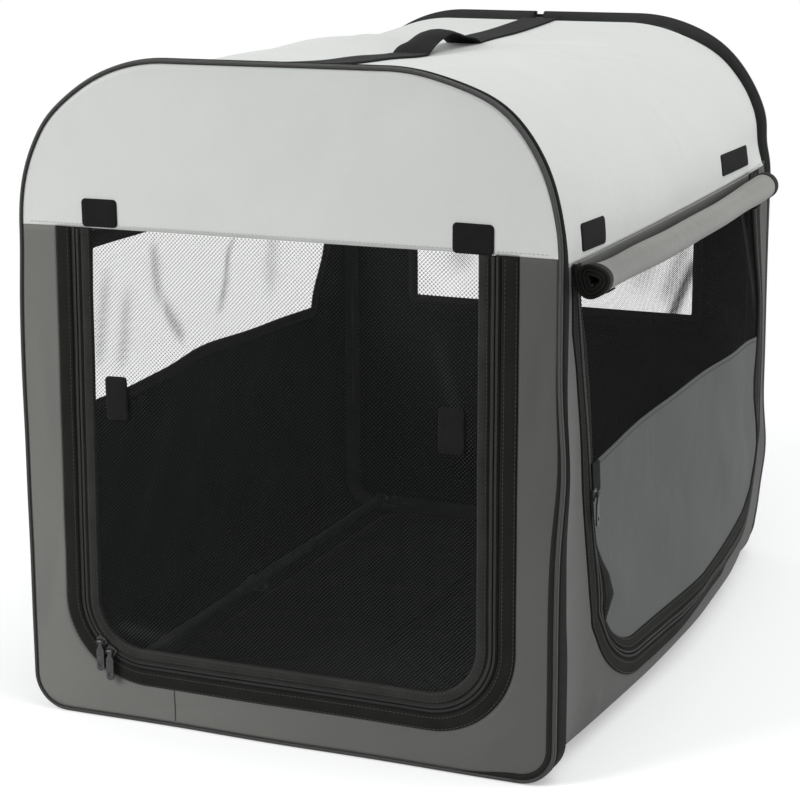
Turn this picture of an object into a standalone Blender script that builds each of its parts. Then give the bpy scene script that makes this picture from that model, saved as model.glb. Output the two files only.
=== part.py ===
# Soft-sided folding dog crate: two tube hoops with fabric ends, joined by four knuckled spreader bars,
# with a fabric roof, walls and floor between them, a U-shaped zip door in front and one on the right.
# Metres, +Z up, front of the crate at -Y. The origin is at the middle of the floor's underside.
import math

import bmesh
import bpy
import numpy as np
from mathutils import Matrix, Vector

# Driving sizes of the erected crate
WIDTH = 0.550
DEPTH = 0.780
HEIGHT = 0.650
TOP_RADIUS = 0.165
BOTTOM_RADIUS = 0.036
FRONT_SEAM = 0.490
SIDE_SEAM = 0.482

HALF_WIDTH = WIDTH / 2
HALF_DEPTH = DEPTH / 2
GAP = 0.0003

# Fabric: a depth counts inwards from the outermost plane of an end or a side
FABRIC_OUT = 0.0020
FABRIC_IN = 0.0032
SHELL_INSET = 0.0024
SHELL_END = 0.0073
ROOF_SAG = 0.016
WALL_BULGE = 0.021
FLOOR_BULGE = 0.50
# How far the right door's front leg leans to the rear at the floor, and how much less for each metre up
LEAN_FOOT = 0.087
LEAN_SLOPE = 0.2157
FLOOR_THICK = 0.0015

# End hoops and their piping
PIPING_RADIUS = 0.0035
TUBE_RADIUS = 0.0050
TUBE_INSET = 0.0120
TUBE_DEPTH = FABRIC_IN + GAP + TUBE_RADIUS

# Doors: half width, lowest edge and corner radius of each opening
FRONT_OPENING = (0.2335, 0.040, 0.085)
SIDE_OPENING = (0.3500, 0.037, 0.125)
ZIP_MIDDLE = 0.0205
BINDING_INNER = 0.0378
PANEL_TOP = 0.287

# Windows: low and high edge along the wall, low and high edge up it, corner radius
LEFT_WINDOW = (-0.262, 0.340, 0.268, 0.457, 0.012)
REAR_WINDOW = (-0.186, 0.194, 0.279, 0.457, 0.012)
WINDOW_BINDING = 0.009

# Net: spacing of the gaps and the strand between them
NET_PITCH = 0.0460
NET_STRAND = 0.0075

# Spreader bars
PIVOT_REACH = 0.022
PIVOT_Y = HALF_DEPTH - TUBE_DEPTH - PIVOT_REACH
BAR_LENGTH = PIVOT_Y
BAR_RADIUS = 0.0050
KNUCKLE_OFFSET = 0.0085
TONGUE_HALF = 0.0037
CHEEK_IN = 0.0040
CHEEK_OUT = 0.0065
CHEEK_ROUND = 0.0065
SLEEVE_RADIUS = 0.0070
SLEEVE_SHIFT = 0.0025
PIN_RADIUS = 0.0020
TOP_BAR = (HALF_WIDTH - TUBE_INSET, 0.470)
BOTTOM_BAR = (0.215, 0.022)

# Carrying strap on the roof
STRAP_HALF = 0.0225
STRAP_THICK = 0.0018
LOOP = (-0.062, 0.135)
LOOP_RISE = 0.024

# Rolled-up cover of the side door
ROLL_RADIUS = 0.0165
ROLL_CENTRE = (0.2950, 0.4660)
ROLL_TURNS = 3.25
ROLL_PITCH = 0.0036
ROLL_CLOTH = 0.0028
ROLL_ENDS = (-0.358, 0.292)

STRAP_SPOTS = (-0.322, 0.226)
STRAP_WIDE = 0.020

# Webbing patches and tabs: how far out and in they reach from the outermost plane
PATCH_OUT = 0.0006
PATCH_IN = 0.0025

# The doors turn about their seams' outer edges, this deep
HINGE_DEPTH = 0.0006

# Zip sliders: the front ones by their angle round the zip's lower left corner, the side one by its spot
LEFT_SLIDER_TURN = 224
RIGHT_SLIDER_TURN = 236
SIDE_SLIDER = (-0.3295, 0.2560)
PULL_LENGTH = 0.0300

PALE_GREY = (0.62, 0.65, 0.63)
DARK_GREY = (0.15, 0.15, 0.145)
MID_GREY = (0.26, 0.26, 0.24)
BLACK_TAPE = (0.018, 0.018, 0.019)
BLACK_NET = (0.010, 0.010, 0.011)
STEEL = (0.30, 0.30, 0.31)
BLACK_METAL = (0.03, 0.03, 0.03)


def clear_scene():
    for old in list(bpy.data.objects):
        bpy.data.objects.remove(old, do_unlink=True)


def material(name, colour, roughness=0.85, metallic=0.0):
    finish = bpy.data.materials.new(name)
    finish.use_nodes = True
    shader = finish.node_tree.nodes["Principled BSDF"]
    shader.inputs["Base Color"].default_value = (*colour, 1.0)
    shader.inputs["Roughness"].default_value = roughness
    shader.inputs["Metallic"].default_value = metallic
    finish.diffuse_color = (*colour, 1.0)
    return finish


def face_out(bm):
    """Turns all faces outwards, judging by the volume that they enclose."""
    bmesh.ops.recalc_face_normals(bm, faces=bm.faces)
    if bm.calc_volume(signed=True) < 0:
        bmesh.ops.reverse_faces(bm, faces=bm.faces)
    return bm


def finish_object(name, bm, colour, roughness=0.85, metallic=0.0, smooth_angle=35):
    face_out(bm)
    mesh = bpy.data.meshes.new(name)
    bm.to_mesh(mesh)
    bm.free()
    mesh.shade_smooth()
    mesh.set_sharp_from_angle(angle=math.radians(smooth_angle))
    mesh.materials.append(material(name, colour, roughness, metallic))
    obj = bpy.data.objects.new(name, mesh)
    bpy.context.scene.collection.objects.link(obj)
    return obj


# Where a panel lies. a runs along the panel, b up it and d into the crate, as whole arrays.

def front_place(a, b, d):
    return np.stack([a, -HALF_DEPTH + d, b], axis=-1)


def rear_place(a, b, d):
    return np.stack([a, HALF_DEPTH - d, b], axis=-1)


def smooth_step(t):
    t = np.clip(t, 0.0, 1.0)
    return t * t * (3 - 2 * t)


def wall_bulge(along, height):
    """How far the loose wall stands out: none at the hoops and the seam, most low in the rear half."""
    share = along / HALF_DEPTH
    between_hoops = (1 - np.abs(share) ** 1.7) * (1 + 0.9 * share)
    below_seam = smooth_step((SIDE_SEAM - height) / 0.18)
    near_floor = FLOOR_BULGE + (1 - FLOOR_BULGE) * smooth_step(height / 0.07)
    return WALL_BULGE * between_hoops * below_seam * near_floor


def door_lean(a, b):
    """The slack pulls the right door's front leg rearwards towards the floor, and fades out behind it."""
    shift = LEAN_FOOT - LEAN_SLOPE * np.clip(b, 0.0, SIDE_SEAM)
    return shift * smooth_step((a + WALL_END) / 0.030) * smooth_step((0.10 - a) / 0.40)


def wall_place(a, b, d):
    """Straight up the wall, and round the bottom corner where b is under the corner's start."""
    radius = BOTTOM_RADIUS - SHELL_INSET + FABRIC_OUT - d
    turn = np.clip((BOTTOM_RADIUS - b) / (BOTTOM_RADIUS - SHELL_INSET), 0.0, math.pi / 2)
    x = HALF_WIDTH - BOTTOM_RADIUS + radius * np.cos(turn)
    z = np.where(b < BOTTOM_RADIUS, BOTTOM_RADIUS - radius * np.sin(turn), b)
    return np.stack([x + wall_bulge(a, z), a, z], axis=-1)


def right_place(a, b, d):
    return wall_place(a + door_lean(a, b), b, d)


def left_place(a, b, d):
    return wall_place(a, b, d) * np.array([-1.0, 1.0, 1.0])


def roof_section(t):
    """The roof's outer line from the right seam (t = 0) over to the left one: x, z, normal and length."""
    radius = TOP_RADIUS - SHELL_INSET
    rise = HEIGHT - TOP_RADIUS - SIDE_SEAM
    corner = math.pi / 2 * radius
    flat = WIDTH - 2 * TOP_RADIUS
    total = 2 * rise + 2 * corner + flat
    side = np.where(t > total / 2, -1.0, 1.0)
    run = np.where(t > total / 2, total - t, t)
    turn = np.clip((run - rise) / radius, 0.0, math.pi / 2)
    x = HALF_WIDTH - TOP_RADIUS + radius * np.cos(turn) - np.maximum(run - rise - corner, 0.0)
    z = SIDE_SEAM + np.minimum(run, rise) + radius * np.sin(turn)
    return side * x, z, side * np.cos(turn), np.sin(turn), total


def roof_sag(y, normal_z):
    return ROOF_SAG * (1 - (y / HALF_DEPTH) ** 2) * normal_z ** 2


def roof_place(a, b, d):
    x, z, nx, nz, _ = roof_section(b)
    inwards = d - FABRIC_OUT + roof_sag(a, nz)
    return np.stack([x - nx * inwards, a, z - nz * inwards], axis=-1)


# Outlines, as (count, 2) arrays of a and b

def arc(centre, radius, start, end, steps):
    angle = np.radians(np.linspace(start, end, steps + 1))
    return np.stack([centre[0] + radius * np.cos(angle), centre[1] + radius * np.sin(angle)], axis=-1)


def hoop_outline(inset, top_steps=9, bottom_steps=4):
    """An end's closed outline, this far inside the outermost line, from the lower right corner round."""
    top = TOP_RADIUS - inset
    low = BOTTOM_RADIUS - inset
    high = HEIGHT - TOP_RADIUS
    near = HALF_WIDTH - BOTTOM_RADIUS
    far = HALF_WIDTH - TOP_RADIUS
    return np.concatenate([
        arc((near, BOTTOM_RADIUS), low, -90, 0, bottom_steps),
        arc((far, high), top, 0, 90, top_steps),
        arc((-far, high), top, 90, 180, top_steps),
        arc((-near, BOTTOM_RADIUS), low, 180, 270, bottom_steps),
    ])


def door_outline(opening, inset, top, steps=8, side_parts=7, floor_parts=6):
    """The U of a door from its top left down, across and up again, this far inside the opening's edge."""
    half, low, radius = opening
    middle = (half - radius, low + radius)
    left = np.linspace(top, middle[1], side_parts, endpoint=False)
    across = np.linspace(-middle[0], middle[0], floor_parts + 1)[1:-1]
    edge = half - inset
    return np.concatenate([
        np.stack([np.full(side_parts, -edge), left], axis=-1),
        arc((-middle[0], middle[1]), radius - inset, 180, 270, steps),
        np.stack([across, np.full(floor_parts - 1, low + inset)], axis=-1),
        arc(middle, radius - inset, 270, 360, steps),
        np.stack([np.full(side_parts, edge), left[::-1]], axis=-1),
    ])


def rounded_box(low_a, high_a, low_b, high_b, radius, steps=3):
    return np.concatenate([
        arc((high_a - radius, low_b + radius), radius, -90, 0, steps),
        arc((high_a - radius, high_b - radius), radius, 0, 90, steps),
        arc((low_a + radius, high_b - radius), radius, 90, 180, steps),
        arc((low_a + radius, low_b + radius), radius, 180, 270, steps),
    ])


# Solids

def grid_solid(rails, path_closed):
    """A closed body from rails: profile points, stations and xyz. The profile closes on itself."""
    profile, stations = rails.shape[:2]
    bm = bmesh.new()
    verts = [[bm.verts.new(p) for p in rail] for rail in rails]
    last = stations if path_closed else stations - 1
    for i in range(profile):
        j = (i + 1) % profile
        for k in range(last):
            n = (k + 1) % stations
            bm.faces.new((verts[i][k], verts[j][k], verts[j][n], verts[i][n]))
    if not path_closed:
        bm.faces.new([rail[0] for rail in verts])
        bm.faces.new([rail[-1] for rail in verts])
    return bm


def triangulated(bm):
    bmesh.ops.triangulate(bm, faces=[f for f in bm.faces if len(f.verts) > 4])
    return bm


def panel_solid(outline, holes, place, cuts_a=(), cuts_b=(), out=FABRIC_OUT, inner=FABRIC_IN):
    """A sheet with this outline and these holes, cut across where it has to bend, then laid in its place."""
    bm = bmesh.new()
    for loop in [outline, *holes]:
        verts = [bm.verts.new((a, b, 0.0)) for a, b in loop]
        for i, vert in enumerate(verts):
            bm.edges.new((vert, verts[(i + 1) % len(verts)]))
    bmesh.ops.triangle_fill(bm, edges=bm.edges, use_beauty=True)
    for normal, values in (((1, 0, 0), cuts_a), ((0, 1, 0), cuts_b)):
        for value in values:
            geometry = bm.verts[:] + bm.edges[:] + bm.faces[:]
            point = [c * value for c in normal]
            bmesh.ops.bisect_plane(bm, geom=geometry, dist=1e-6, plane_co=point, plane_no=normal)
    sheet = bmesh.ops.extrude_face_region(bm, geom=bm.faces[:])
    for vert in [g for g in sheet["geom"] if isinstance(g, bmesh.types.BMVert)]:
        vert.co.z = 1.0
    flat = np.array([v.co[:] for v in bm.verts])
    depth = np.where(flat[:, 2] > 0.5, inner, out)
    for vert, point in zip(bm.verts, place(flat[:, 0], flat[:, 1], depth)):
        vert.co = point
    return bm


def swept_band(outline_at, profile, place, path_closed):
    """A profile of (inset, depth) points carried along an outline that is worked out for each inset."""
    rails = []
    for inset, depth in profile:
        line = outline_at(inset)
        rails.append(place(line[:, 0], line[:, 1], np.full(len(line), depth)))
    return grid_solid(np.array(rails), path_closed)


def round_profile(inset, depth, radius, sides=8):
    angle = np.linspace(0, 2 * math.pi, sides, endpoint=False) + math.pi / sides
    return [(inset + radius * math.cos(a), depth + radius * math.sin(a)) for a in angle]


def net_holes(low_a, high_a, low_b, high_b, inside=None):
    """Square gaps spread evenly over a field, leaving out those that inside() says don't fit."""
    count_a = int((high_a - low_a) / NET_PITCH)
    count_b = int((high_b - low_b) / NET_PITCH)
    half = NET_PITCH / 2 - NET_STRAND / 2
    square = np.array([(-half, -half), (-half, half), (half, half), (half, -half)])
    holes = []
    for i in range(count_a):
        for j in range(count_b):
            a = (low_a + high_a) / 2 + (i - (count_a - 1) / 2) * NET_PITCH
            b = (low_b + high_b) / 2 + (j - (count_b - 1) / 2) * NET_PITCH
            hole = square + (a, b)
            if inside is None or all(inside(*corner) for corner in hole):
                holes.append(hole)
    return holes


def inside_door(opening, margin):
    """Tells whether a point is inside the door's rounded U by at least this margin."""
    half, low, radius = opening

    def test(a, b):
        across = abs(a) - (half - radius)
        down = low + radius - b
        if across > 0 and down > 0:
            return math.hypot(across, down) < radius - margin
        return abs(a) < half - margin and b > low + margin

    return test


def boolean(target, tool, operation):
    """Joins or cuts a bmesh with another by an exact Boolean, and gives the result as a bmesh."""
    objects = []
    for bm in (target, tool):
        face_out(bm)
        mesh = bpy.data.meshes.new("boolean")
        bm.to_mesh(mesh)
        bm.free()
        obj = bpy.data.objects.new("boolean", mesh)
        bpy.context.scene.collection.objects.link(obj)
        objects.append(obj)
    modifier = objects[0].modifiers.new("cut", "BOOLEAN")
    modifier.operation = operation
    modifier.solver = "EXACT"
    modifier.object = objects[1]
    graph = bpy.context.evaluated_depsgraph_get()
    result = bmesh.new()
    result.from_object(objects[0], graph)
    for obj in objects:
        bpy.data.objects.remove(obj, do_unlink=True)
    return triangulated(result)


AXES = {"x": (1, 2, 0), "y": (2, 0, 1), "z": (0, 1, 2)}


def cylinder(radius, low, high, centre, axis, sides=14):
    """A solid cylinder along an axis, from low to high on it, through centre on the other two."""
    first, second, along = AXES[axis]
    angle = np.linspace(0, 2 * math.pi, sides, endpoint=False) + math.pi / sides
    rails = np.zeros((sides, 2, 3))
    rails[:, :, first] = (centre[0] + radius * np.cos(angle))[:, None]
    rails[:, :, second] = (centre[1] + radius * np.sin(angle))[:, None]
    rails[:, :, along] = (low, high)
    return grid_solid(rails, False)


def plate_x(outline, low_x, high_x):
    """A plate with this (y, z) outline between two values of x."""
    rails = np.zeros((len(outline), 2, 3))
    rails[:, :, 1] = outline[:, 0][:, None]
    rails[:, :, 2] = outline[:, 1][:, None]
    rails[:, :, 0] = (low_x, high_x)
    return grid_solid(rails, False)


def placed(bm, move=(0.0, 0.0, 0.0), mirror=(1, 1, 1)):
    for vert in bm.verts:
        vert.co = [c * m + t for c, m, t in zip(vert.co, mirror, move)]
    return face_out(bm)


# The two fabric ends on their hoops

def zip_profile_fixed():
    """The sewn-in half of a zip: tape, then its row of teeth standing proud."""
    teeth = ZIP_MIDDLE - GAP / 2
    return [
        (GAP, 0.0018), (teeth - 0.0032, 0.0018), (teeth - 0.0030, 0.0008),
        (teeth, 0.0008), (teeth, 0.0040), (GAP, 0.0034),
    ]


def zip_profile_door():
    """The door's half: teeth, tape, and the bound edge that holds the net."""
    teeth = ZIP_MIDDLE + GAP / 2
    return [
        (teeth, 0.0008), (teeth + 0.0030, 0.0008), (teeth + 0.0032, 0.0018), (0.0264, 0.0018),
        (0.0266, 0.0012), (BINDING_INNER, 0.0012), (BINDING_INNER, 0.0038), (teeth, 0.0040),
    ]


def end_outline_part(above):
    """The end panel's outline above or below the colour seam."""
    inset = 2 * PIPING_RADIUS + GAP
    line = hoop_outline(inset)
    edge = HALF_WIDTH - inset
    seam = FRONT_SEAM if above else FRONT_SEAM - GAP
    height = HEIGHT - TOP_RADIUS
    drop = FRONT_SEAM - height
    edge_at_seam = HALF_WIDTH - TOP_RADIUS + math.sqrt((TOP_RADIUS - inset) ** 2 - max(drop, 0.0) ** 2)
    kept = line[line[:, 1] > FRONT_SEAM + 0.004] if above else None
    if above:
        return np.concatenate([[(edge_at_seam, seam)], kept, [(-edge_at_seam, seam)]])
    lower = arc((HALF_WIDTH - BOTTOM_RADIUS, BOTTOM_RADIUS), BOTTOM_RADIUS - inset, -90, 0, 5)
    right = np.concatenate([lower, [(edge, height)], [(edge_at_seam, seam)]])
    left = right[::-1] * (-1, 1)
    return np.concatenate([left, right])


def sewn_on(panel, outlines, place):
    """The panel with flat patches sewn to its face, as one body."""
    for outline in outlines:
        patch = panel_solid(outline, [], place, (), (), PATCH_OUT, PATCH_IN)
        panel = boolean(panel, patch, "UNION")
    return panel


def make_end(side, place, patches):
    section = round_profile(PIPING_RADIUS, PIPING_RADIUS, PIPING_RADIUS, 6)
    piping = swept_band(hoop_outline, section, place, True)
    finish_object(f"{side}_piping", piping, BLACK_TAPE, 0.6)
    upper = panel_solid(end_outline_part(True), [], place)
    finish_object(f"{side}_panel_upper", sewn_on(upper, patches, place), PALE_GREY)


def make_front_panel():
    """The lower front panel is one sheet with the doorway cut up to the seam."""
    outer = end_outline_part(False)
    doorway = door_outline(FRONT_OPENING, 0.0, FRONT_SEAM - GAP)
    # The sheet runs down the left edge and up the right one, then back round the doorway.
    loop = np.concatenate([outer, doorway[::-1]])
    finish_object("front_panel_lower", panel_solid(loop, [], front_place), DARK_GREY)


def make_rear_panel():
    window = rounded_box(*REAR_WINDOW)
    sheet = panel_solid(end_outline_part(False), [window], rear_place)
    finish_object("rear_panel_lower", sheet, DARK_GREY)
    make_window("rear_window", REAR_WINDOW, rear_place)


def make_window(name, window, place):
    """A net window and the flat tape that binds its edge."""
    low_a, high_a, low_b, high_b, radius = window

    def frame(inset):
        corner = max(radius - inset, 0.002)
        return rounded_box(low_a + inset, high_a - inset, low_b + inset, high_b - inset, corner)

    def dense_frame(inset):
        """The same line with points along the straight runs, so that it bends with the wall."""
        line = frame(inset)
        parts = []
        for start, end in zip(line, np.roll(line, -1, axis=0)):
            pieces = 6 if np.linalg.norm(end - start) > 0.08 else 1
            parts.append(start + (end - start) * (np.arange(pieces) / pieces)[:, None])
        return np.concatenate(parts)

    edge = [(GAP, 0.0014), (WINDOW_BINDING, 0.0014), (WINDOW_BINDING, 0.0038), (GAP, 0.0038)]
    finish_object(f"{name}_binding", swept_band(dense_frame, edge, place, True), BLACK_TAPE, 0.8)
    inset = WINDOW_BINDING + GAP
    holes = net_holes(low_a + inset + 0.004, high_a - inset - 0.004, low_b + inset, high_b - inset)
    finish_object(f"{name}_mesh", panel_solid(dense_frame(inset), holes, place), BLACK_NET)


# The front door

def make_door(name, opening, place, top, mesh_low, tabs):
    """The door's bound edge with its half of the zip, and its net from mesh_low up to the seam."""
    line = lambda inset: door_outline(opening, inset, top)
    finish_object(f"{name}_binding", swept_band(line, zip_profile_door(), place, False), BLACK_TAPE)
    half, low, _ = opening
    inset = BINDING_INNER + GAP
    if mesh_low is None:
        outline = line(inset)
        mesh_low = low + inset
    else:
        edge = half - inset
        across = np.linspace(-edge, edge, 13)
        outline = np.concatenate([
            [(-edge, top)], [(-edge, (top + mesh_low) / 2)],
            np.stack([across, np.full(13, mesh_low)], axis=-1),
            [(edge, (top + mesh_low) / 2)], np.stack([across[::-1], np.full(13, top)], axis=-1)[:-1],
        ])
    field = half - inset - 0.002
    test = inside_door(opening, inset + 0.003)
    holes = net_holes(-field, field, mesh_low + 0.002, top - 0.002, test)
    net = sewn_on(panel_solid(outline, holes, place), tabs, place)
    finish_object(f"{name}_mesh", net, BLACK_NET)


def make_front_door():
    make_door("front_door", FRONT_OPENING, front_place, FRONT_SEAM - GAP, None, FRONT_TABS)
    tape = swept_band(
        lambda inset: door_outline(FRONT_OPENING, inset, FRONT_SEAM - GAP),
        zip_profile_fixed(), front_place, False)
    finish_object("front_zip_tape", tape, BLACK_TAPE)


# Roof, walls and floor

WALL_LOW = BOTTOM_RADIUS - (BOTTOM_RADIUS - SHELL_INSET) * math.pi / 2
WALL_CUTS_A = np.array([-0.355, -0.31, -0.25, -0.15, -0.05, 0.05, 0.15, 0.25, 0.31, 0.355])
WALL_CUTS_B = [*np.linspace(WALL_LOW, BOTTOM_RADIUS, 4)[1:], 0.07, 0.30, 0.36, 0.42]
WALL_END = HALF_DEPTH - SHELL_END


def make_roof():
    """A loft of the section along the crate, sagging between the hoops."""
    total = float(roof_section(np.array(0.0))[4])
    rise = HEIGHT - TOP_RADIUS - SIDE_SEAM
    corner = math.pi / 2 * (TOP_RADIUS - SHELL_INSET)
    right = np.concatenate([[GAP], rise + np.linspace(0, corner, 11)])
    middle = np.linspace(right[-1], total - right[-1], 7)[1:-1]
    line = np.concatenate([right, middle, total - right[::-1]])
    along = np.linspace(-WALL_END, WALL_END, 9)
    t, y = np.meshgrid(line, along, indexing="ij")
    outer = roof_place(y, t, np.full(t.shape, FABRIC_OUT))
    inner = roof_place(y, t, np.full(t.shape, FABRIC_IN))
    rails = np.concatenate([outer, inner[::-1]])
    finish_object("roof_panel", sewn_on(grid_solid(rails, False), ROOF_PATCHES, roof_place), PALE_GREY)


def make_walls():
    top = SIDE_SEAM - GAP
    box = [(-WALL_END, top), (-WALL_END, WALL_LOW), (WALL_END, WALL_LOW), (WALL_END, top)]
    doorway = door_outline(SIDE_OPENING, 0.0, top)
    loop = np.concatenate([np.array(box), doorway[::-1]])
    right = panel_solid(loop, [], right_place, WALL_CUTS_A, WALL_CUTS_B)
    finish_object("right_wall", right, DARK_GREY)
    window = rounded_box(*LEFT_WINDOW)
    left = panel_solid(np.array(box), [window], left_place, WALL_CUTS_A, WALL_CUTS_B)
    finish_object("left_wall", left, DARK_GREY)
    make_window("left_window", LEFT_WINDOW, left_place)


def make_floor():
    edge = HALF_WIDTH - BOTTOM_RADIUS + 0.001

    def floor_place(a, b, d):
        spread = 1 + wall_bulge(b, np.zeros_like(b)) / edge
        return np.stack([a * spread, b, d], axis=-1)

    corners = np.array([(-edge, -WALL_END), (edge, -WALL_END), (edge, WALL_END), (-edge, WALL_END)])
    sheet = panel_solid(corners, [], floor_place, (), WALL_CUTS_A, 0.0, FLOOR_THICK)
    finish_object("floor_panel", sheet, DARK_GREY)


def make_mat():
    """A thin pad with a crowned top, drawn-in edges and rounded corners."""
    half_x, half_y, low, high = 0.200, 0.340, FLOOR_THICK + GAP, 0.0165
    # Each ring: how far in from the edge, and how high
    rings = [(0.006, low), (0.0015, low + 0.003), (0.0, 0.0075), (0.002, 0.0115), (0.012, 0.0140),
             (0.045, 0.0152), (0.100, high)]
    rails = []
    for inset, height in rings:
        line = rounded_box(-half_x + inset, half_x - inset, -half_y + inset, half_y - inset,
                           max(0.035 - inset, 0.010), 4)
        rails.append(np.column_stack([line, np.full(len(line), height)]))
    rails = np.array(rails).transpose(1, 0, 2)
    finish_object("floor_mat", grid_solid(rails, False), MID_GREY)


def roof_height(y):
    """Top surface of the roof along its middle."""
    return HEIGHT - SHELL_INSET - ROOF_SAG * (1 - (y / HALF_DEPTH) ** 2)


def make_strap():
    """Webbing laid along the ridge from hoop to hoop, lifted into a hand loop over the middle."""
    ends = WALL_END - 0.0005
    start, stop = LOOP
    loop_part = np.linspace(start, stop, 17)
    y = np.concatenate([np.linspace(-ends, start, 7)[:-1], loop_part, np.linspace(stop, ends, 6)[1:]])
    across = np.clip((y - start) / (stop - start), 0.0, 1.0)
    arch = LOOP_RISE * (1 - np.abs(2 * across - 1) ** 3.5)
    under = roof_height(y) + GAP + arch
    slope = np.gradient(under, y)
    length = np.hypot(1, slope)
    over_y = y - STRAP_THICK * slope / length
    over_z = under + STRAP_THICK / length
    rails = np.array([
        np.stack([np.full(len(y), -STRAP_HALF), y, under], axis=-1),
        np.stack([np.full(len(y), STRAP_HALF), y, under], axis=-1),
        np.stack([np.full(len(y), STRAP_HALF), over_y, over_z], axis=-1),
        np.stack([np.full(len(y), -STRAP_HALF), over_y, over_z], axis=-1),
    ])
    finish_object("carry_strap", grid_solid(rails, False), BLACK_TAPE)


# The side door and its rolled-up cover

def make_side_door():
    top = SIDE_SEAM - GAP
    make_door("side_door", SIDE_OPENING, right_place, top, PANEL_TOP + GAP, [])
    tape = swept_band(
        lambda inset: door_outline(SIDE_OPENING, inset, top), zip_profile_fixed(), right_place, False)
    finish_object("side_zip_tape", tape, BLACK_TAPE)
    inset = BINDING_INNER + GAP
    line = door_outline(SIDE_OPENING, inset, PANEL_TOP)
    panel = panel_solid(line, [], right_place, WALL_CUTS_A[1:-1])
    finish_object("side_door_panel", panel, DARK_GREY)


def cloth_strip(outer, inner, low_y, high_y):
    """A strip of cloth between two lines of (x, z) points, this wide along y."""
    rails = np.zeros((4, len(outer), 3))
    for k, (line, y) in enumerate([(outer, low_y), (outer, high_y), (inner, high_y), (inner, low_y)]):
        rails[k, :, 0] = line[:, 0]
        rails[k, :, 1] = y
        rails[k, :, 2] = line[:, 1]
    return grid_solid(rails, False)


def round_roll(radius, degrees):
    """Points round the roll's axis, with a radius for each angle or one for all."""
    angle = np.radians(degrees)
    cx, cz = ROLL_CENTRE
    return np.stack([cx + radius * np.cos(angle), cz + radius * np.sin(angle)], axis=-1)


def make_cover():
    """The cover hangs as a flap from the seam, then winds down, under and inwards as a spiral."""
    degrees = np.linspace(180, 180 + ROLL_TURNS * 360, int(ROLL_TURNS * 13) + 1)
    radius = ROLL_RADIUS - ROLL_PITCH * (degrees - 180) / 360
    seam = HALF_WIDTH - SHELL_INSET + FABRIC_OUT + GAP
    top = SIDE_SEAM - 2 * GAP
    flap_inner = np.array([(seam, top), (seam + 0.0011, top - 0.006)])
    flap_outer = flap_inner + (0.0012, -0.0003)
    near = np.concatenate([flap_inner, round_roll(radius, degrees)])
    far = np.concatenate([flap_outer, round_roll(radius - ROLL_CLOTH, degrees)])
    finish_object("side_cover", cloth_strip(near, far, *ROLL_ENDS), MID_GREY)
    wrap = np.linspace(148, -163, 22)
    for end, middle in zip(("front", "rear"), STRAP_SPOTS):
        under, over = (round_roll(ROLL_RADIUS + GAP + thick, wrap) for thick in (0.0, STRAP_THICK))
        strap = cloth_strip(over, under, middle - STRAP_WIDE / 2, middle + STRAP_WIDE / 2)
        finish_object(f"side_cover_{end}_strap", strap, BLACK_TAPE)


# Zip sliders and pulls: x along the zip's width, z along its length, d = -y outwards, built at the origin

PULL_PIN = 0.0045
SLIDER_OUT = 0.0022


def slider_body(turn=0.0):
    """A tapered shoe along the tape, with two posts and the level pin that the pull hangs on."""
    shoe = np.array([(-0.0030, -0.0055), (0.0030, -0.0055), (0.0045, 0.0015), (0.0038, 0.0055),
                     (-0.0038, 0.0055), (-0.0045, 0.0015)])
    rails = np.zeros((6, 3, 3))
    for k, (scale, depth) in enumerate([(1.0, 0.0005), (1.0, -0.0014), (0.86, -SLIDER_OUT)]):
        rails[:, k, 0] = shoe[:, 0] * scale
        rails[:, k, 1] = depth
        rails[:, k, 2] = shoe[:, 1] * scale
    cos, sin = math.cos(math.radians(turn)), math.sin(math.radians(turn))
    across, along = rails[:, :, 0] * cos - rails[:, :, 2] * sin, rails[:, :, 0] * sin + rails[:, :, 2] * cos
    rails[:, :, 0], rails[:, :, 2] = across, along
    body = grid_solid(rails, False)
    for side in (-1, 1):
        low, high = sorted((side * 0.0025, side * 0.0036))
        post = np.array([(-0.0010, -0.0022), (-PULL_PIN - 0.0016, -0.0014), (-PULL_PIN - 0.0016, 0.0014),
                         (-0.0010, 0.0022)])
        body = boolean(body, plate_x(post, low, high), "UNION")
    pin = cylinder(0.0010, -0.0030, 0.0030, (-PULL_PIN, 0.0), "x", 8)
    return boolean(body, pin, "UNION")


def pull_body():
    """A flat pull with a round hole near its end, on a small barrel round the slider's pin."""
    half, thick = 0.0040, 0.0008
    neck = 0.0021
    outline = np.concatenate([
        [(neck, -0.0012), (neck, -0.0050), (half, -0.0085)],
        arc((0.0, -PULL_LENGTH + half), half, 0, -180, 8),
        [(-half, -0.0085), (-neck, -0.0050), (-neck, -0.0012)],
    ])
    hole = arc((0.0, -PULL_LENGTH + 0.0070), 0.0020, 0, 315, 7)
    plate = panel_solid(outline, [hole], lambda a, b, d: np.stack([a, d, b], axis=-1), (), (),
                        -PULL_PIN - thick, -PULL_PIN + thick)
    barrel = cylinder(0.0019, -0.0021, 0.0021, (-PULL_PIN, 0.0), "x", 10)
    whole = boolean(plate, barrel, "UNION")
    bore = cylinder(0.0013, -0.0050, 0.0050, (-PULL_PIN, 0.0), "x", 10)
    return boolean(whole, bore, "DIFFERENCE")


def corner_centre():
    half, low, radius = FRONT_OPENING
    return -(half - radius), low + radius


def slider_spot(turn):
    """A point on the middle of the zip's curve at the lower left corner."""
    x, z = corner_centre()
    radius = FRONT_OPENING[2] - ZIP_MIDDLE
    return x + radius * math.cos(math.radians(turn)), z + radius * math.sin(math.radians(turn))


def make_front_slider(side, turn):
    x, z = slider_spot(turn)
    move = (x, -HALF_DEPTH, z)
    finish_object(f"front_zip_slider_{side}", placed(slider_body(turn), move), BLACK_METAL, 0.4, 0.6)
    finish_object(f"front_zip_pull_{side}", placed(pull_body(), move), BLACK_METAL, 0.4, 0.6)


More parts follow.
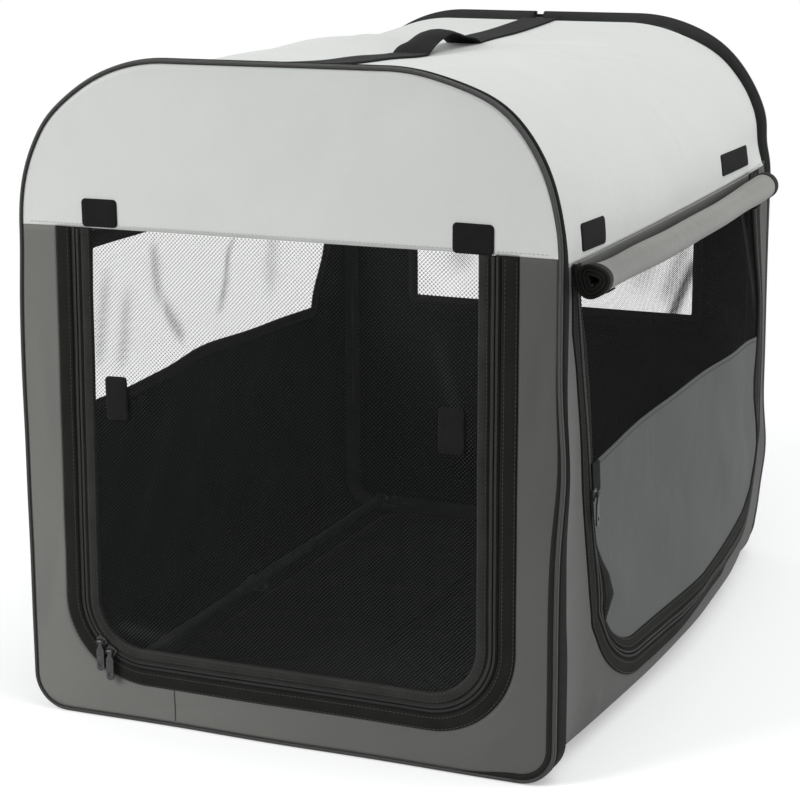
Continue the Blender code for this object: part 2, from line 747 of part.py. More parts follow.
def side_spot():
    """Where the side slider's base stands: on the leaning zip, a little off the bulged wall."""
    a, b = (np.array(value) for value in SIDE_SLIDER)
    x, y, z = right_place(a, b, np.array(0.0))
    return float(x) + 0.0006, float(y), float(z)


def make_side_slider():
    """The same slider turned to face +X, its shoe along the leaning zip."""
    surface, y, z = side_spot()
    turn = math.degrees(math.atan(LEAN_SLOPE))
    for name, bm in (("side_zip_slider", slider_body(turn)), ("side_zip_pull", pull_body())):
        for vert in bm.verts:
            vert.co = (surface - vert.co.y, y + vert.co.x, z + vert.co.z)
        finish_object(name, bm, BLACK_METAL, 0.4, 0.6)


# Spreader bars. Each half is built along +y from its hoop pivot at the origin, with the knuckle's pivot
# at (BAR_LENGTH, KNUCKLE_OFFSET) in y and z. Bars under the floor line are mirrored in z.

def lofted_bar(rings):
    """Elliptic rings of (y, centre z, half x, half z), joined into one body."""
    sides = 8
    angle = np.linspace(0, 2 * math.pi, sides, endpoint=False) + math.pi / sides
    rails = np.zeros((sides, len(rings), 3))
    for k, (y, centre, half_x, half_z) in enumerate(rings):
        # A flattened ring is squarer than an ellipse, as pressed tube is.
        power = 1.0 if half_x == half_z else 0.6
        cos, sin = np.cos(angle), np.sin(angle)
        rails[:, k, 0] = half_x * np.sign(cos) * np.abs(cos) ** power
        rails[:, k, 1] = y
        rails[:, k, 2] = centre + half_z * np.sign(sin) * np.abs(sin) ** power
    return grid_solid(rails, False)


def hoop_tongue():
    """The pressed and rounded end that turns in the hoop's bracket."""
    return [(-0.0050, 0.0, TONGUE_HALF, 0.0020), (-0.0035, 0.0, TONGUE_HALF, 0.0042),
            (0.0, 0.0, TONGUE_HALF, 0.0055), (0.0080, 0.0, TONGUE_HALF, 0.0055),
            (0.0160, 0.0, BAR_RADIUS, BAR_RADIUS)]


def pin_hole(y, z):
    return cylinder(PIN_RADIUS + 2 * GAP, -0.012, 0.012, (y, z), "x", 10)


def front_half_bar():
    rings = hoop_tongue() + [(BAR_LENGTH - 0.018, 0.0, BAR_RADIUS, BAR_RADIUS)]
    return boolean(lofted_bar(rings), pin_hole(0.0, 0.0), "DIFFERENCE")


def rear_half_bar():
    """Its knuckle end is pressed flat and cranked over to the offset pivot."""
    end, shift = BAR_LENGTH, KNUCKLE_OFFSET
    rings = hoop_tongue() + [
        (end - 0.0270, 0.0, BAR_RADIUS, BAR_RADIUS), (end - 0.0215, 0.0, TONGUE_HALF, 0.0055),
        (end - 0.0140, shift * 0.40, TONGUE_HALF, 0.0055), (end - 0.0070, shift * 0.90, TONGUE_HALF, 0.0055),
        (end, shift, TONGUE_HALF, 0.0055), (end + 0.0035, shift, TONGUE_HALF, 0.0042),
        (end + 0.0050, shift, TONGUE_HALF, 0.0020),
    ]
    bar = boolean(lofted_bar(rings), pin_hole(0.0, 0.0), "DIFFERENCE")
    return boolean(bar, pin_hole(end, shift), "DIFFERENCE")


def knuckle():
    """A socket on the front half's end with two cheeks that carry the offset pin."""
    end, shift = BAR_LENGTH, KNUCKLE_OFFSET
    socket = cylinder(0.0070, end - 0.042, end - 0.014, (0.0, 0.0), "y", 12)
    side = np.concatenate([
        [(end - 0.020, -0.0060), (end - 0.006, -0.0060)],
        arc((end, shift), CHEEK_ROUND, -45, 110, 5),
        [(end - 0.020, 0.0068)],
    ])
    body = boolean(socket, plate_x(side, -CHEEK_OUT, CHEEK_OUT), "UNION")
    low, high = end - 0.0135, end + 0.012
    slot = np.array([(low, -0.012), (high, -0.012), (high, 0.022), (low, 0.022)])
    body = boolean(body, plate_x(slot, -CHEEK_IN, CHEEK_IN), "DIFFERENCE")
    bore = cylinder(BAR_RADIUS + 2 * GAP, end - 0.045, end - 0.0175, (0.0, 0.0), "y", 12)
    body = boolean(body, bore, "DIFFERENCE")
    return boolean(body, pin_hole(end, shift), "DIFFERENCE")


def headed_pin():
    """A rivet with a low head outside each cheek, about the x axis."""
    head, face = 0.0032, CHEEK_OUT + GAP
    steps = [(-face - 0.0009, head), (-face, head), (-face, PIN_RADIUS), (face, PIN_RADIUS),
             (face, head), (face + 0.0009, head)]
    angle = np.linspace(0, 2 * math.pi, 10, endpoint=False)
    rails = np.zeros((10, len(steps), 3))
    for k, (x, radius) in enumerate(steps):
        rails[:, k, 0] = x
        rails[:, k, 1] = radius * np.cos(angle)
        rails[:, k, 2] = radius * np.sin(angle)
    return grid_solid(rails, False)


def bracket(sleeve_axis, rise):
    """A sleeve fixed on the hoop's tube, with two cheeks reaching to the pivot at the origin."""
    back = -PIVOT_REACH
    middle = back + SLEEVE_SHIFT
    centre = {"z": (0.0, middle), "x": (middle, -rise)}[sleeve_axis]
    sleeve = cylinder(SLEEVE_RADIUS, -0.013, 0.013, centre, sleeve_axis, 12)
    side = np.concatenate([
        [(middle, -rise - 0.0060)], arc((0.0, 0.0), CHEEK_ROUND, -80, 80, 5), [(middle, -rise + 0.0060)]])
    body = boolean(sleeve, plate_x(side, -CHEEK_OUT, CHEEK_OUT), "UNION")
    low, high = middle + SLEEVE_RADIUS + 0.0010, 0.012
    slot = np.array([(low, -0.020), (high, -0.020), (high, 0.020), (low, 0.020)])
    body = boolean(body, plate_x(slot, -CHEEK_IN, CHEEK_IN), "DIFFERENCE")
    return boolean(body, pin_hole(0.0, 0.0), "DIFFERENCE")


def make_hoop(end, place, turn):
    """The bent tube of one end, with the four brackets that are welded to it."""
    hoop = swept_band(hoop_outline, round_profile(TUBE_INSET, TUBE_DEPTH, TUBE_RADIUS), place, True)
    for (x, z), axis, rise in ((TOP_BAR, "z", 0.0), (BOTTOM_BAR, "x", BOTTOM_BAR[1] - TUBE_INSET)):
        for sign in (-1, 1):
            spot = (sign * x, -turn * PIVOT_Y, z)
            hoop = boolean(hoop, placed(bracket(axis, rise), spot, (1, turn, 1)), "UNION")
    finish_object(f"{end}_hoop", hoop, STEEL, 0.4, 0.8)


def make_bars():
    for level, (x, z), flip in (("top", TOP_BAR, 1), ("bottom", BOTTOM_BAR, -1)):
        for hand, sign in (("left", -1), ("right", 1)):
            name = f"{level}_{hand}"
            front = dict(move=(sign * x, -PIVOT_Y, z), mirror=(1, 1, flip))
            rear = dict(move=(sign * x, PIVOT_Y, z), mirror=(1, -1, flip))
            finish_object(f"{name}_front_bar", placed(front_half_bar(), **front), STEEL, 0.4, 0.8)
            finish_object(f"{name}_rear_bar", placed(rear_half_bar(), **rear), STEEL, 0.4, 0.8)
            finish_object(f"{name}_knuckle", placed(knuckle(), **front), BLACK_METAL, 0.5)
            knee = z + flip * KNUCKLE_OFFSET
            for spot, y, height in (("front", -PIVOT_Y, z), ("knuckle", 0.0, knee), ("rear", PIVOT_Y, z)):
                pin = placed(headed_pin(), (sign * x, y, height))
                finish_object(f"{name}_{spot}_pin", pin, STEEL, 0.35, 0.9)


# Empties on the joints' axes carry the moving pieces.

def pivot(name, point, names, parent=None):
    """An empty at this point that carries the named objects, under another pivot where one is given."""
    empty = bpy.data.objects.new(name, None)
    bpy.context.scene.collection.objects.link(empty)
    base = parent.matrix_world.translation if parent else Vector((0.0, 0.0, 0.0))
    empty.parent = parent
    empty.location = Vector(point) - base
    bpy.context.view_layer.update()
    for child in names:
        obj = bpy.data.objects[child]
        obj.data.transform(Matrix.Translation(-Vector(point)))
        obj.parent = empty
    return empty


def hang_doors():
    front_line = (0.0, -HALF_DEPTH + HINGE_DEPTH, FRONT_SEAM - GAP / 2)
    front = pivot("front_door_hinge", front_line, ["front_door_mesh", "front_door_binding"])
    x, z = corner_centre()
    for side, turn in (("left", LEFT_SLIDER_TURN), ("right", RIGHT_SLIDER_TURN)):
        corner = pivot(f"front_{side}_run", (x, -HALF_DEPTH, z), [f"front_zip_slider_{side}"], front)
        spot = slider_spot(turn)
        pin = (spot[0], -HALF_DEPTH - PULL_PIN, spot[1])
        pivot(f"front_{side}_pull_pin", pin, [f"front_zip_pull_{side}"], corner)
    seam = HALF_WIDTH - SHELL_INSET + FABRIC_OUT - HINGE_DEPTH
    cover = ["side_cover", "side_cover_front_strap", "side_cover_rear_strap"]
    door = ["side_door_mesh", "side_door_panel", "side_door_binding", *cover]
    side_hinge = pivot("side_door_hinge", (seam, 0.0, SIDE_SEAM - GAP / 2), door)
    surface, y, z = side_spot()
    run = pivot("side_run", (surface, y, z), ["side_zip_slider"], side_hinge)
    pivot("side_pull_pin", (surface + PULL_PIN, y, z), ["side_zip_pull"], run)


def hang_bars():
    """Each spreader's front half turns at the front hoop, its rear half at the knuckle."""
    for level, (x, z), flip in (("top", TOP_BAR, 1), ("bottom", BOTTOM_BAR, -1)):
        for hand, sign in (("left", -1), ("right", 1)):
            name = f"{level}_{hand}"
            halves = [f"{name}_front_bar", f"{name}_knuckle", f"{name}_knuckle_pin"]
            front = pivot(f"{name}_front_pivot", (sign * x, -PIVOT_Y, z), halves)
            knee = (sign * x, 0.0, z + flip * KNUCKLE_OFFSET)
            rear = pivot(f"{name}_knee", knee, [f"{name}_rear_bar"], front)
            if name == "top_left":
                solids = [obj.name for obj in bpy.data.objects if obj.type == "MESH"]
                frame = [n for n in solids if n.startswith("rear_") or n.endswith("_rear_pin")]
                pivot("rear_frame_pivot", (sign * x, PIVOT_Y, z), frame, rear)


FRONT_PATCHES = [rounded_box(a, a + 0.038, 0.4912, 0.5170, 0.004) for a in (-0.2030, 0.1730)]
FRONT_TABS = [rounded_box(a, a + 0.0235, 0.306, 0.349, 0.005) for a in (-0.1810, 0.1605)]
ROOF_PATCHES = [rounded_box(*ends, 0.007, 0.031, 0.004) for ends in ((-0.340, -0.270), (0.168, 0.272))]

clear_scene()
make_hoop("front", front_place, 1)
make_hoop("rear", rear_place, -1)
make_end("front", front_place, FRONT_PATCHES)
make_end("rear", rear_place, [])
make_front_panel()
make_rear_panel()
make_front_door()
make_roof()
make_walls()
make_floor()
make_mat()
make_strap()
make_side_door()
make_cover()
make_front_slider("left", LEFT_SLIDER_TURN)
make_front_slider("right", RIGHT_SLIDER_TURN)
make_side_slider()
make_bars()
hang_doors()
hang_bars()
bpy.context.view_layer.update()
print("solids", sum(obj.type == "MESH" for obj in bpy.data.objects))
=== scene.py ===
import math

import bmesh
import bpy
import numpy as np
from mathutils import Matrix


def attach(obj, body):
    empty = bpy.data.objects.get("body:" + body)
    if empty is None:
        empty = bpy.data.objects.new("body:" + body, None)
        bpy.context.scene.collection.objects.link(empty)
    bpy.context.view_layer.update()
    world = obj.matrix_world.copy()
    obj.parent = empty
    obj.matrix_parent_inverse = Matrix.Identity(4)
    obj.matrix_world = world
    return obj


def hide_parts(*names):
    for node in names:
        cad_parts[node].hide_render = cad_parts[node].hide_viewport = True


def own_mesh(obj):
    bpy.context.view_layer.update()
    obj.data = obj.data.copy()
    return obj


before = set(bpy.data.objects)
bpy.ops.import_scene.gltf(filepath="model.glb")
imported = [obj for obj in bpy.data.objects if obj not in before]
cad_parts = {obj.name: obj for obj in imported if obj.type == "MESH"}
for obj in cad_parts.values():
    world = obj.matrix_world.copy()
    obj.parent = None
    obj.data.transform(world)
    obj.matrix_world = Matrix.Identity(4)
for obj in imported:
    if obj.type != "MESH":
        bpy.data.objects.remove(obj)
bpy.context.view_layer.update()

print("frame loaded")

scene = bpy.context.scene
scene.view_settings.view_transform = "Standard"


# Camera: a solve of the photograph's two ends gave its place, turn and lens
cameraFacts = {
    "place": (0.85392261, -2.14437134, 0.81459004),
    "turn": (76.3339871, 0.15707593, 22.57660917),
    "focalInPixels": 2173.407,
    "frameInPixels": 800,
    "sensor": 36.0,
}


def addCamera(facts):
    data = bpy.data.cameras.new("photoCamera")
    data.sensor_width = facts["sensor"]
    data.lens = facts["focalInPixels"] / facts["frameInPixels"] * facts["sensor"]
    data.clip_end = 200
    camera = bpy.data.objects.new("photoCamera", data)
    scene.collection.objects.link(camera)
    camera.location = facts["place"]
    camera.rotation_euler = [math.radians(angle) for angle in facts["turn"]]
    scene.camera = camera


addCamera(cameraFacts)
print("camera placed")


# Sizes of the erected crate, the same as the solids'
crate = {
    "halfWidth": 0.275,
    "halfDepth": 0.390,
    "height": 0.650,
    "topRadius": 0.165,
    "bottomRadius": 0.036,
    "frontSeam": 0.490,
    "sideSeam": 0.482,
    "shellInset": 0.0024,
    "fabricOut": 0.0020,
    "cloth": 0.0012,
    "wallFront": -0.3827,
    "wallRear": 0.3768,
    "rearTuck": 0.0032,
    "rightTuck": 0.0080,
    "seamDrop": 0.0028,
}
frontOpening = {"half": 0.2335, "low": 0.040, "radius": 0.085, "lean": 0.0045}
sideOpening = {"half": 0.3500, "low": 0.037, "radius": 0.125, "lean": 0.0}
# The bars' tubes: their brackets' pivots lie this far along y from the middle; x and z of each level
barFacts = {
    "radius": 0.00515, "pivot": 0.3595, "top": (0.263, 0.470), "bottom": (0.215, 0.022),
    "clear": 0.0150, "frontEnd": -0.0420, "rearStart": 0.0275, "sides": 24}


# Arithmetic on whole arrays

# Arrays broadcast together, as the coordinates of a line's or a grid's points.
def stacked(*parts):
    return np.stack(np.broadcast_arrays(*parts), axis=-1)


def smoothStep(t):
    t = np.clip(t, 0.0, 1.0)
    return t * t * (3 - 2 * t)


# 1 at 0, falling off smoothly to both sides.
def bell(t):
    return np.exp(-t ** 2)


# 1 in the middle, 0 at both ends of 0..1, and smooth.
def hump(t):
    return smoothStep(t / 0.3) * smoothStep((1 - t) / 0.3)


# A soft ridge along a straight line: a bell across it, fading out at its ends.
def foldLine(a, b, line):
    (a0, b0), (a1, b1), width, height = line
    length = math.hypot(a1 - a0, b1 - b0)
    ua, ub = (a1 - a0) / length, (b1 - b0) / length
    along = ((a - a0) * ua + (b - b0) * ub) / length
    across = (a - a0) * ub - (b - b0) * ua
    return height * bell(across / width) * hump(along)


def folds(a, b, lines):
    total = np.zeros(np.broadcast(a, b).shape)
    for line in lines:
        total = total + foldLine(a, b, line)
    return total


# Uneven slack: a sum of sine waves of about this length in random directions.
def ripple(a, b, seed, size, height, waves=7):
    random = np.random.default_rng(seed)
    total = np.zeros(np.broadcast(a, b).shape)
    for _ in range(waves):
        turn, phase = random.uniform(0, 2 * math.pi, 2)
        step = 2 * math.pi / (size * random.uniform(0.7, 1.6))
        total = total + np.sin(step * (a * math.cos(turn) + b * math.sin(turn)) + phase)
    return total * height / math.sqrt(waves)


# Where a piece of cloth lies: a runs along the side, b up it, d inwards from its outermost plane

frontFolds = [
    ((-0.262, 0.060), (-0.240, 0.200), 0.010, -0.0010),
    ((-0.255, 0.420), (-0.245, 0.250), 0.008, 0.0008),
    ((0.262, 0.440), (0.246, 0.300), 0.009, -0.0009),
    ((0.255, 0.070), (0.190, 0.022), 0.010, 0.0010),
    ((-0.170, 0.010), (-0.060, 0.030), 0.008, -0.0007),
    ((-0.150, 0.635), (-0.050, 0.600), 0.020, -0.0008),
    ((0.160, 0.630), (0.080, 0.590), 0.022, -0.0009),
]


def frontRelief(a, b):
    return ripple(a, b, 3, 0.16, 0.0005) + folds(a, b, frontFolds)


# The cloth doesn't follow a hoop exactly. It stands outside the hoop's outermost line in bells along it:
# middle (a height, then the shoulder's arc), half width, how far
strayFacts = {
    "front": {"right": ((0.295, 0.055, 0.0050), (0.580, 0.045, 0.0040), (0.632, 0.040, 0.0060)),
              "left": ((0.485, 0.062, -0.0045), (0.600, 0.025, 0.0014))},
    "rear": {"right": ((0.022, 0.030, -0.0045), (0.135, 0.045, 0.0062), (0.240, 0.080, 0.0014),
                       (0.505, 0.022, -0.0046), (0.630, 0.045, 0.0024)),
             "left": ()},
}
# How far these strays are felt: inside the hoop's line, and along y on the left, the right wall and the roof
strayReach = {"inset": 0.038, "left": 0.180, "rightWall": 0.045, "rightRoof": 0.180, "start": 0.010}


def bells(along, lines):
    return sum((high * bell((along - middle) / wide) for middle, wide, high in lines), np.zeros(along.shape))


# Where the cloth lies over the upper brackets' rivets: 1 at their heads, nothing 2 cm away
def overRivets(y, z):
    along, up = np.abs(y) - barFacts["pivot"], z - barFacts["top"][1]
    return np.exp(-(along / 0.014) ** 4 - (up / 0.015) ** 4)


def strayed(points):
    x, y, z = points[..., 0], points[..., 1], points[..., 2]
    radius = crate["topRadius"]
    high, far = crate["height"] - radius, crate["halfWidth"] - radius
    across, up = np.abs(x) - far, z - high
    shoulder = up > 0
    reach = np.hypot(np.maximum(across, 0.0), np.maximum(up, 0.0))
    turn = np.arctan2(np.maximum(up, 0.0), np.maximum(across, 1e-6))
    along = np.where(shoulder, high + radius * turn, z)
    inset = np.where(shoulder, radius - np.maximum(reach, up), crate["halfWidth"] - np.abs(x))
    near = 1 - smoothStep(inset / strayReach["inset"])
    # The right wall goes along only close to the hoops, the roof and the left wall further
    further = strayReach["rightRoof"] - strayReach["rightWall"]
    right = strayReach["rightWall"] + further * smoothStep((z - 0.44) / 0.05)
    length = np.where(x > 0, right, strayReach["left"])
    total = np.zeros(x.shape)
    for side, sign in (("front", -1), ("rear", 1)):
        depth = sign * y - crate["halfDepth"] + strayReach["start"]
        amount = np.where(x > 0, bells(along, strayFacts[side]["right"]), bells(along, strayFacts[side]["left"]))
        total = total + amount * smoothStep(1 + depth / length)
    total = total * near * (1 - overRivets(y, z) * (total < 0))
    moved = points.copy()
    moved[..., 0] += total * np.sign(x) * np.where(shoulder, np.cos(turn), 1.0)
    moved[..., 2] += total * np.where(shoulder, np.sin(turn), 0.0)
    return moved


def frontPlace(a, b, d):
    return strayed(stacked(a, -crate["halfDepth"] + d - frontRelief(a, b), b))


def rearPlace(a, b, d):
    return strayed(stacked(a, crate["halfDepth"] - d + frontRelief(-a, b), b))


# 0 left of the right wall, 1 on it
def onRight(a):
    return smoothStep((a - 0.20) / 0.04)


# The front binding's free edge reaches further back on the right wall. Below: a height, over what drop it
# comes in, how far; notch: one bell where it reaches less
bandFacts = {
    "wide": 0.0015,
    "edge": 0.0108,
    "lift": 0.0012,
    "below": ((0.53, 0.06, 0.0045), (0.26, 0.10, 0.0055), (0.17, 0.06, 0.0050)),
    "notch": (0.32, 0.06, -0.0060),
}


def frontBandPlace(a, b, d):
    more = bells(b, [bandFacts["notch"]])
    for height, fade, far in bandFacts["below"]:
        more = more + far * smoothStep((height - b) / fade)
    outer = smoothStep((d - bandFacts["edge"]) / 0.0010)
    wide = bandFacts["wide"] + more * onRight(a)
    return frontPlace(a + bandFacts["lift"] * outer * onRight(a) * smoothStep((0.50 - b) / 0.05), b, d + wide * outer)


# Below the seam the right wall's cloth covers the rear hoop's sleeve and binding
def rearSleevePlace(a, b, d):
    return rearPlace(a - 0.0050 * onRight(a) * smoothStep((0.470 - b) / 0.03), b, d)


wallShape = {"bulge": 0.021, "floorShare": 0.50, "fadeUp": 0.18, "rearDip": 0.0085}
rightFolds = [
    ((-0.345, 0.090), (-0.235, 0.150), 0.012, -0.0035),
    ((-0.330, 0.060), (-0.250, 0.040), 0.012, 0.0030),
    ((-0.300, 0.200), (-0.180, 0.120), 0.022, 0.0022),
    ((-0.160, 0.240), (0.020, 0.160), 0.030, -0.0024),
    ((0.050, 0.270), (0.180, 0.130), 0.026, 0.0026),
    ((0.200, 0.250), (0.310, 0.110), 0.022, -0.0038),
    ((0.250, 0.090), (0.345, 0.160), 0.014, 0.0034),
    ((0.120, 0.060), (0.260, 0.045), 0.012, -0.0030),
    ((-0.080, 0.050), (0.080, 0.070), 0.014, 0.0020),
    ((-0.372, 0.420), (-0.366, 0.080), 0.006, 0.0016),
    ((0.372, 0.380), (0.362, 0.120), 0.007, 0.0022),
]
leftFolds = [
    ((-0.340, 0.100), (-0.200, 0.190), 0.020, -0.0030),
    ((-0.100, 0.240), (0.060, 0.080), 0.030, 0.0028),
    ((0.120, 0.220), (0.300, 0.110), 0.024, -0.0030),
    ((-0.300, 0.460), (-0.180, 0.470), 0.014, 0.0016),
    ((0.330, 0.440), (0.350, 0.150), 0.010, 0.0026),
]


# How far the slack wall stands out: nothing at hoops and seam, most over the lower half.
def wallBulge(a, z):
    share = a / crate["halfDepth"]
    betweenHoops = (1 - np.abs(share) ** 1.7) * (1 + 0.9 * share)
    belowSeam = smoothStep((crate["sideSeam"] - z) / wallShape["fadeUp"])
    nearFloor = wallShape["floorShare"] + (1 - wallShape["floorShare"]) * smoothStep(z / 0.07)
    return wallShape["bulge"] * betweenHoops * belowSeam * nearFloor


# The seam hangs a little, most between the hoops, and the cloth near it goes along.
def seamDrop(a, z):
    near = bell((z - crate["sideSeam"]) / 0.05)
    return crate["seamDrop"] * (2 - (a / crate["halfDepth"]) ** 2) * near


# The cloth meets the rear hoop's sleeve under its outermost line: a share of the dip, near that hoop only
def rearDip(a, share):
    return wallShape["rearDip"] * share * smoothStep((a - 0.330) / 0.040)


# The slack pulls the right door's front leg rearwards towards the floor; the shift fades out behind it
doorLean = {"foot": 0.087, "slope": 0.2157}
# Heights, and how far the tape's outer edge, the bound edge's two legs and the whole rear leg stray along y
doorWander = {
    "outer": ((0.200, 0.266, 0.315, 0.385, 0.419, 0.449, 0.482), (0.0, 0.0, 0.0036, 0.0040, 0.0, 0.0053, 0.0085)),
    "front": ((0.050, 0.099, 0.116, 0.126, 0.140, 0.165, 0.185, 0.205, 0.239, 0.300, 0.366, 0.406, 0.431, 0.482),
              (-0.010, -0.015, -0.014, 0.002, 0.017, 0.009, -0.005, -0.014, -0.015, -0.011, -0.006, -0.007, -0.012,
               -0.012)),
    "rear": ((0.080, 0.105, 0.135, 0.180, 0.215, 0.240, 0.275, 0.340),
             (0.0, 0.014, 0.022, 0.004, -0.022, -0.026, -0.012, 0.0)),
    "leg": ((0.260, 0.320, 0.380, 0.482), (0.0, -0.012, -0.017, -0.017)),
}


def leanShift(a, b):
    shift = doorLean["foot"] - doorLean["slope"] * np.clip(b, 0.0, crate["sideSeam"])
    return shift * smoothStep((a - crate["wallFront"]) / 0.030) * smoothStep((0.10 - a) / 0.40)


# How far inside the U-shaped opening a point lies; negative outside it
def insideOpening(a, b, opening):
    across = np.abs(a) - (opening["half"] - opening["radius"])
    down = opening["low"] + opening["radius"] - b
    corner = np.hypot(np.maximum(across, 0), np.maximum(down, 0))
    return opening["radius"] - corner - np.minimum(np.maximum(across, down), 0)


# The zip's width, from the tape's outer edge to the door's inner one, and how far its strays are felt:
# outwards over the wall and inwards over the door
zipWidth = 0.0366
slackFade = {"rise": 0.034, "edge": 0.030, "leg": 0.026, "door": 0.055}


# The bound edge wanders most, the tape's outer edge rises towards the rear, and both fade out on each side
def doorSlack(a, b):
    inset = insideOpening(a, b, sideOpening)
    frontLeg, rearLeg = smoothStep((-0.14 - a) / 0.10), smoothStep((a - 0.20) / 0.08)

    def stray(part):
        return np.interp(b, *doorWander[part])

    def fading(part, inside):
        return np.where(inset < 0, smoothStep(1 + inset / slackFade[part]), inside)

    behind = bell(np.maximum(inset - zipWidth, 0) / slackFade["door"])
    outer = fading("rise", 1 - smoothStep(inset / zipWidth))
    inner = np.where(inset < zipWidth, smoothStep((inset - 0.016) / 0.0206), behind)
    low = smoothStep((0.20 - b) / 0.12)
    rise = 0.036 * smoothStep((a + 0.10) / 0.42) * (1 - 0.30 * bell((a - 0.17) / 0.09))
    rise = outer * low * (rise + 0.0030 * bell((a + 0.04) / 0.08))
    rise = rise + inner * low * (0.006 + 0.026 * smoothStep(a / 0.36))
    edge, leg = fading("edge", 1 - smoothStep(inset / 0.018)), fading("leg", behind)
    shift = inner * (stray("front") * frontLeg + stray("rear") * rearLeg)
    return a + shift + edge * stray("outer") * frontLeg + leg * stray("leg") * rearLeg, b + rise


def wallPlace(a, b, d, wallFolds, seed):
    a, b, d = np.broadcast_arrays(a, b, d)
    corner = crate["bottomRadius"]
    radius = corner - crate["shellInset"] + crate["fabricOut"] - d
    turn = np.clip((corner - b) / (corner - crate["shellInset"]), 0.0, math.pi / 2)
    x = crate["halfWidth"] - corner + radius * np.cos(turn)
    z = np.where(b < corner, corner - radius * np.sin(turn), b)
    slack = hump((a / crate["halfDepth"] + 1) / 2) * smoothStep((crate["sideSeam"] - z) / 0.08)
    relief = folds(a, b, wallFolds) + ripple(a, b, seed, 0.13, 0.0012)
    out = wallBulge(a, z) + relief * slack * smoothStep(z / 0.03)
    dip = rearDip(a, 0.70 * smoothStep((z - 0.430) / 0.045)) * (1 - overRivets(a, z))
    return stacked(x + out - dip, a, z - seamDrop(a, z))


# The right wall's foot stands out more behind the middle and less towards both ends
rightFoot = ((0.085, 0.085, 0.0070), (-0.088, 0.095, 0.0065), (-0.340, 0.060, -0.0052), (0.300, 0.040, -0.0042))


def footFlare(y, z):
    between = smoothStep((crate["halfDepth"] - np.abs(y)) / 0.03)
    return bells(y, rightFoot) * between * (1 - smoothStep(z / 0.075))


def rightPlace(a, b, d):
    a, b, d = np.broadcast_arrays(a, b, d)
    a, b = doorSlack(a, b)
    points = wallPlace(a + leanShift(a, b), b, d, rightFolds, 11)
    points[..., 0] += footFlare(points[..., 1], points[..., 2])
    return strayed(points)


# The left window's lower hem rides up in waves, and its rear corner is drawn forwards
leftHem = {
    "level": 0.275, "low": 0.0020, "waves": ((-0.255, 0.060, 0.0040), (0.030, 0.080, 0.0060)), "rearPull": 0.030}


def leftPlace(a, b, d):
    a, b, d = np.broadcast_arrays(a, b, d)
    rise = (leftHem["low"] + bells(a, leftHem["waves"])) * bell((b - leftHem["level"]) / 0.045)
    pull = leftHem["rearPull"] * smoothStep((0.36 - b) / 0.085) * smoothStep((b - 0.18) / 0.08)
    pull = pull * smoothStep((a - 0.20) / 0.13) * smoothStep((0.377 - a) / 0.030)
    return strayed(wallPlace(a - pull, b + rise, d, leftFolds, 29) * np.array([-1.0, 1.0, 1.0]))


roofFacts = {"sag": 0.017, "rippleHeight": 0.0011}
# Along y and round the roof from its right seam
roofFolds = [
    ((0.120, 0.060), (-0.060, 0.260), 0.012, 0.0018),
    ((0.200, 0.080), (0.060, 0.240), 0.010, -0.0014),
    ((-0.250, 0.050), (-0.120, 0.190), 0.016, 0.0016),
    ((-0.330, 0.180), (-0.180, 0.250), 0.014, -0.0012),
    ((0.330, 0.160), (0.220, 0.300), 0.016, -0.0016),
    ((0.000, 0.400), (0.180, 0.560), 0.018, 0.0014),
    ((-0.280, 0.480), (-0.120, 0.600), 0.018, -0.0014),
    ((0.060, 0.300), (-0.010, 0.140), 0.006, 0.0016),
    ((0.000, 0.170), (0.040, 0.030), 0.007, 0.0018),
    ((0.100, 0.340), (0.170, 0.160), 0.014, -0.0016),
    ((-0.100, 0.280), (-0.200, 0.090), 0.022, -0.0018),
]


# The roof's outer line from the right seam over to the left: a rise, an arc, a flat, and back down.
def roofSection(t):
    radius = crate["topRadius"] - crate["shellInset"]
    rise = crate["height"] - crate["topRadius"] - crate["sideSeam"]
    corner = math.pi / 2 * radius
    total = 2 * rise + 2 * corner + 2 * (crate["halfWidth"] - crate["topRadius"])
    t = np.asarray(t, float)
    side = np.where(t > total / 2, -1.0, 1.0)
    run = np.where(t > total / 2, total - t, t)
    turn = np.clip((run - rise) / radius, 0.0, math.pi / 2)
    flat = np.maximum(run - rise - corner, 0.0)
    x = crate["halfWidth"] - crate["topRadius"] + radius * np.cos(turn) - flat
    z = crate["sideSeam"] + np.minimum(run, rise) + radius * np.sin(turn)
    return side * x, z, side * np.cos(turn), np.sin(turn), total


roofLength = float(roofSection(0.0)[4])


def roofPlace(a, b, d):
    a, b, d = np.broadcast_arrays(a, b, d)
    x, z, nx, nz, total = roofSection(b)
    between = 1 - (a / crate["halfDepth"]) ** 2
    # The left shoulder is tauter
    taut = 0.68 * smoothStep((-0.01 - x) / 0.10) * bell((a + 0.045) / 0.19)
    sag = roofFacts["sag"] * between * nz ** 2 * (1 - taut)
    relief = folds(a, b, roofFolds) + ripple(a, b, 17, 0.17, roofFacts["rippleHeight"])
    clear = smoothStep(b / 0.05) * smoothStep((total - b) / 0.05)
    dip = rearDip(a, np.interp(nz, (0.0, 0.25, 0.50, 0.75, 1.0), (0.70, 0.85, 0.80, 0.95, 1.30)))
    dip = dip * (1 - overRivets(a, z))
    inwards = d - crate["fabricOut"] + sag - relief * between * clear + dip
    return strayed(stacked(x - nx * inwards, a, z - nz * inwards - seamDrop(a, z)))


print("shapes defined")


# Meshes from grids of points

# A mesh's object in the scene, riding on this body.
def newPiece(name, mesh, body):
    piece = bpy.data.objects.new(name, mesh)
    scene.collection.objects.link(piece)
    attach(piece, body)
    return piece


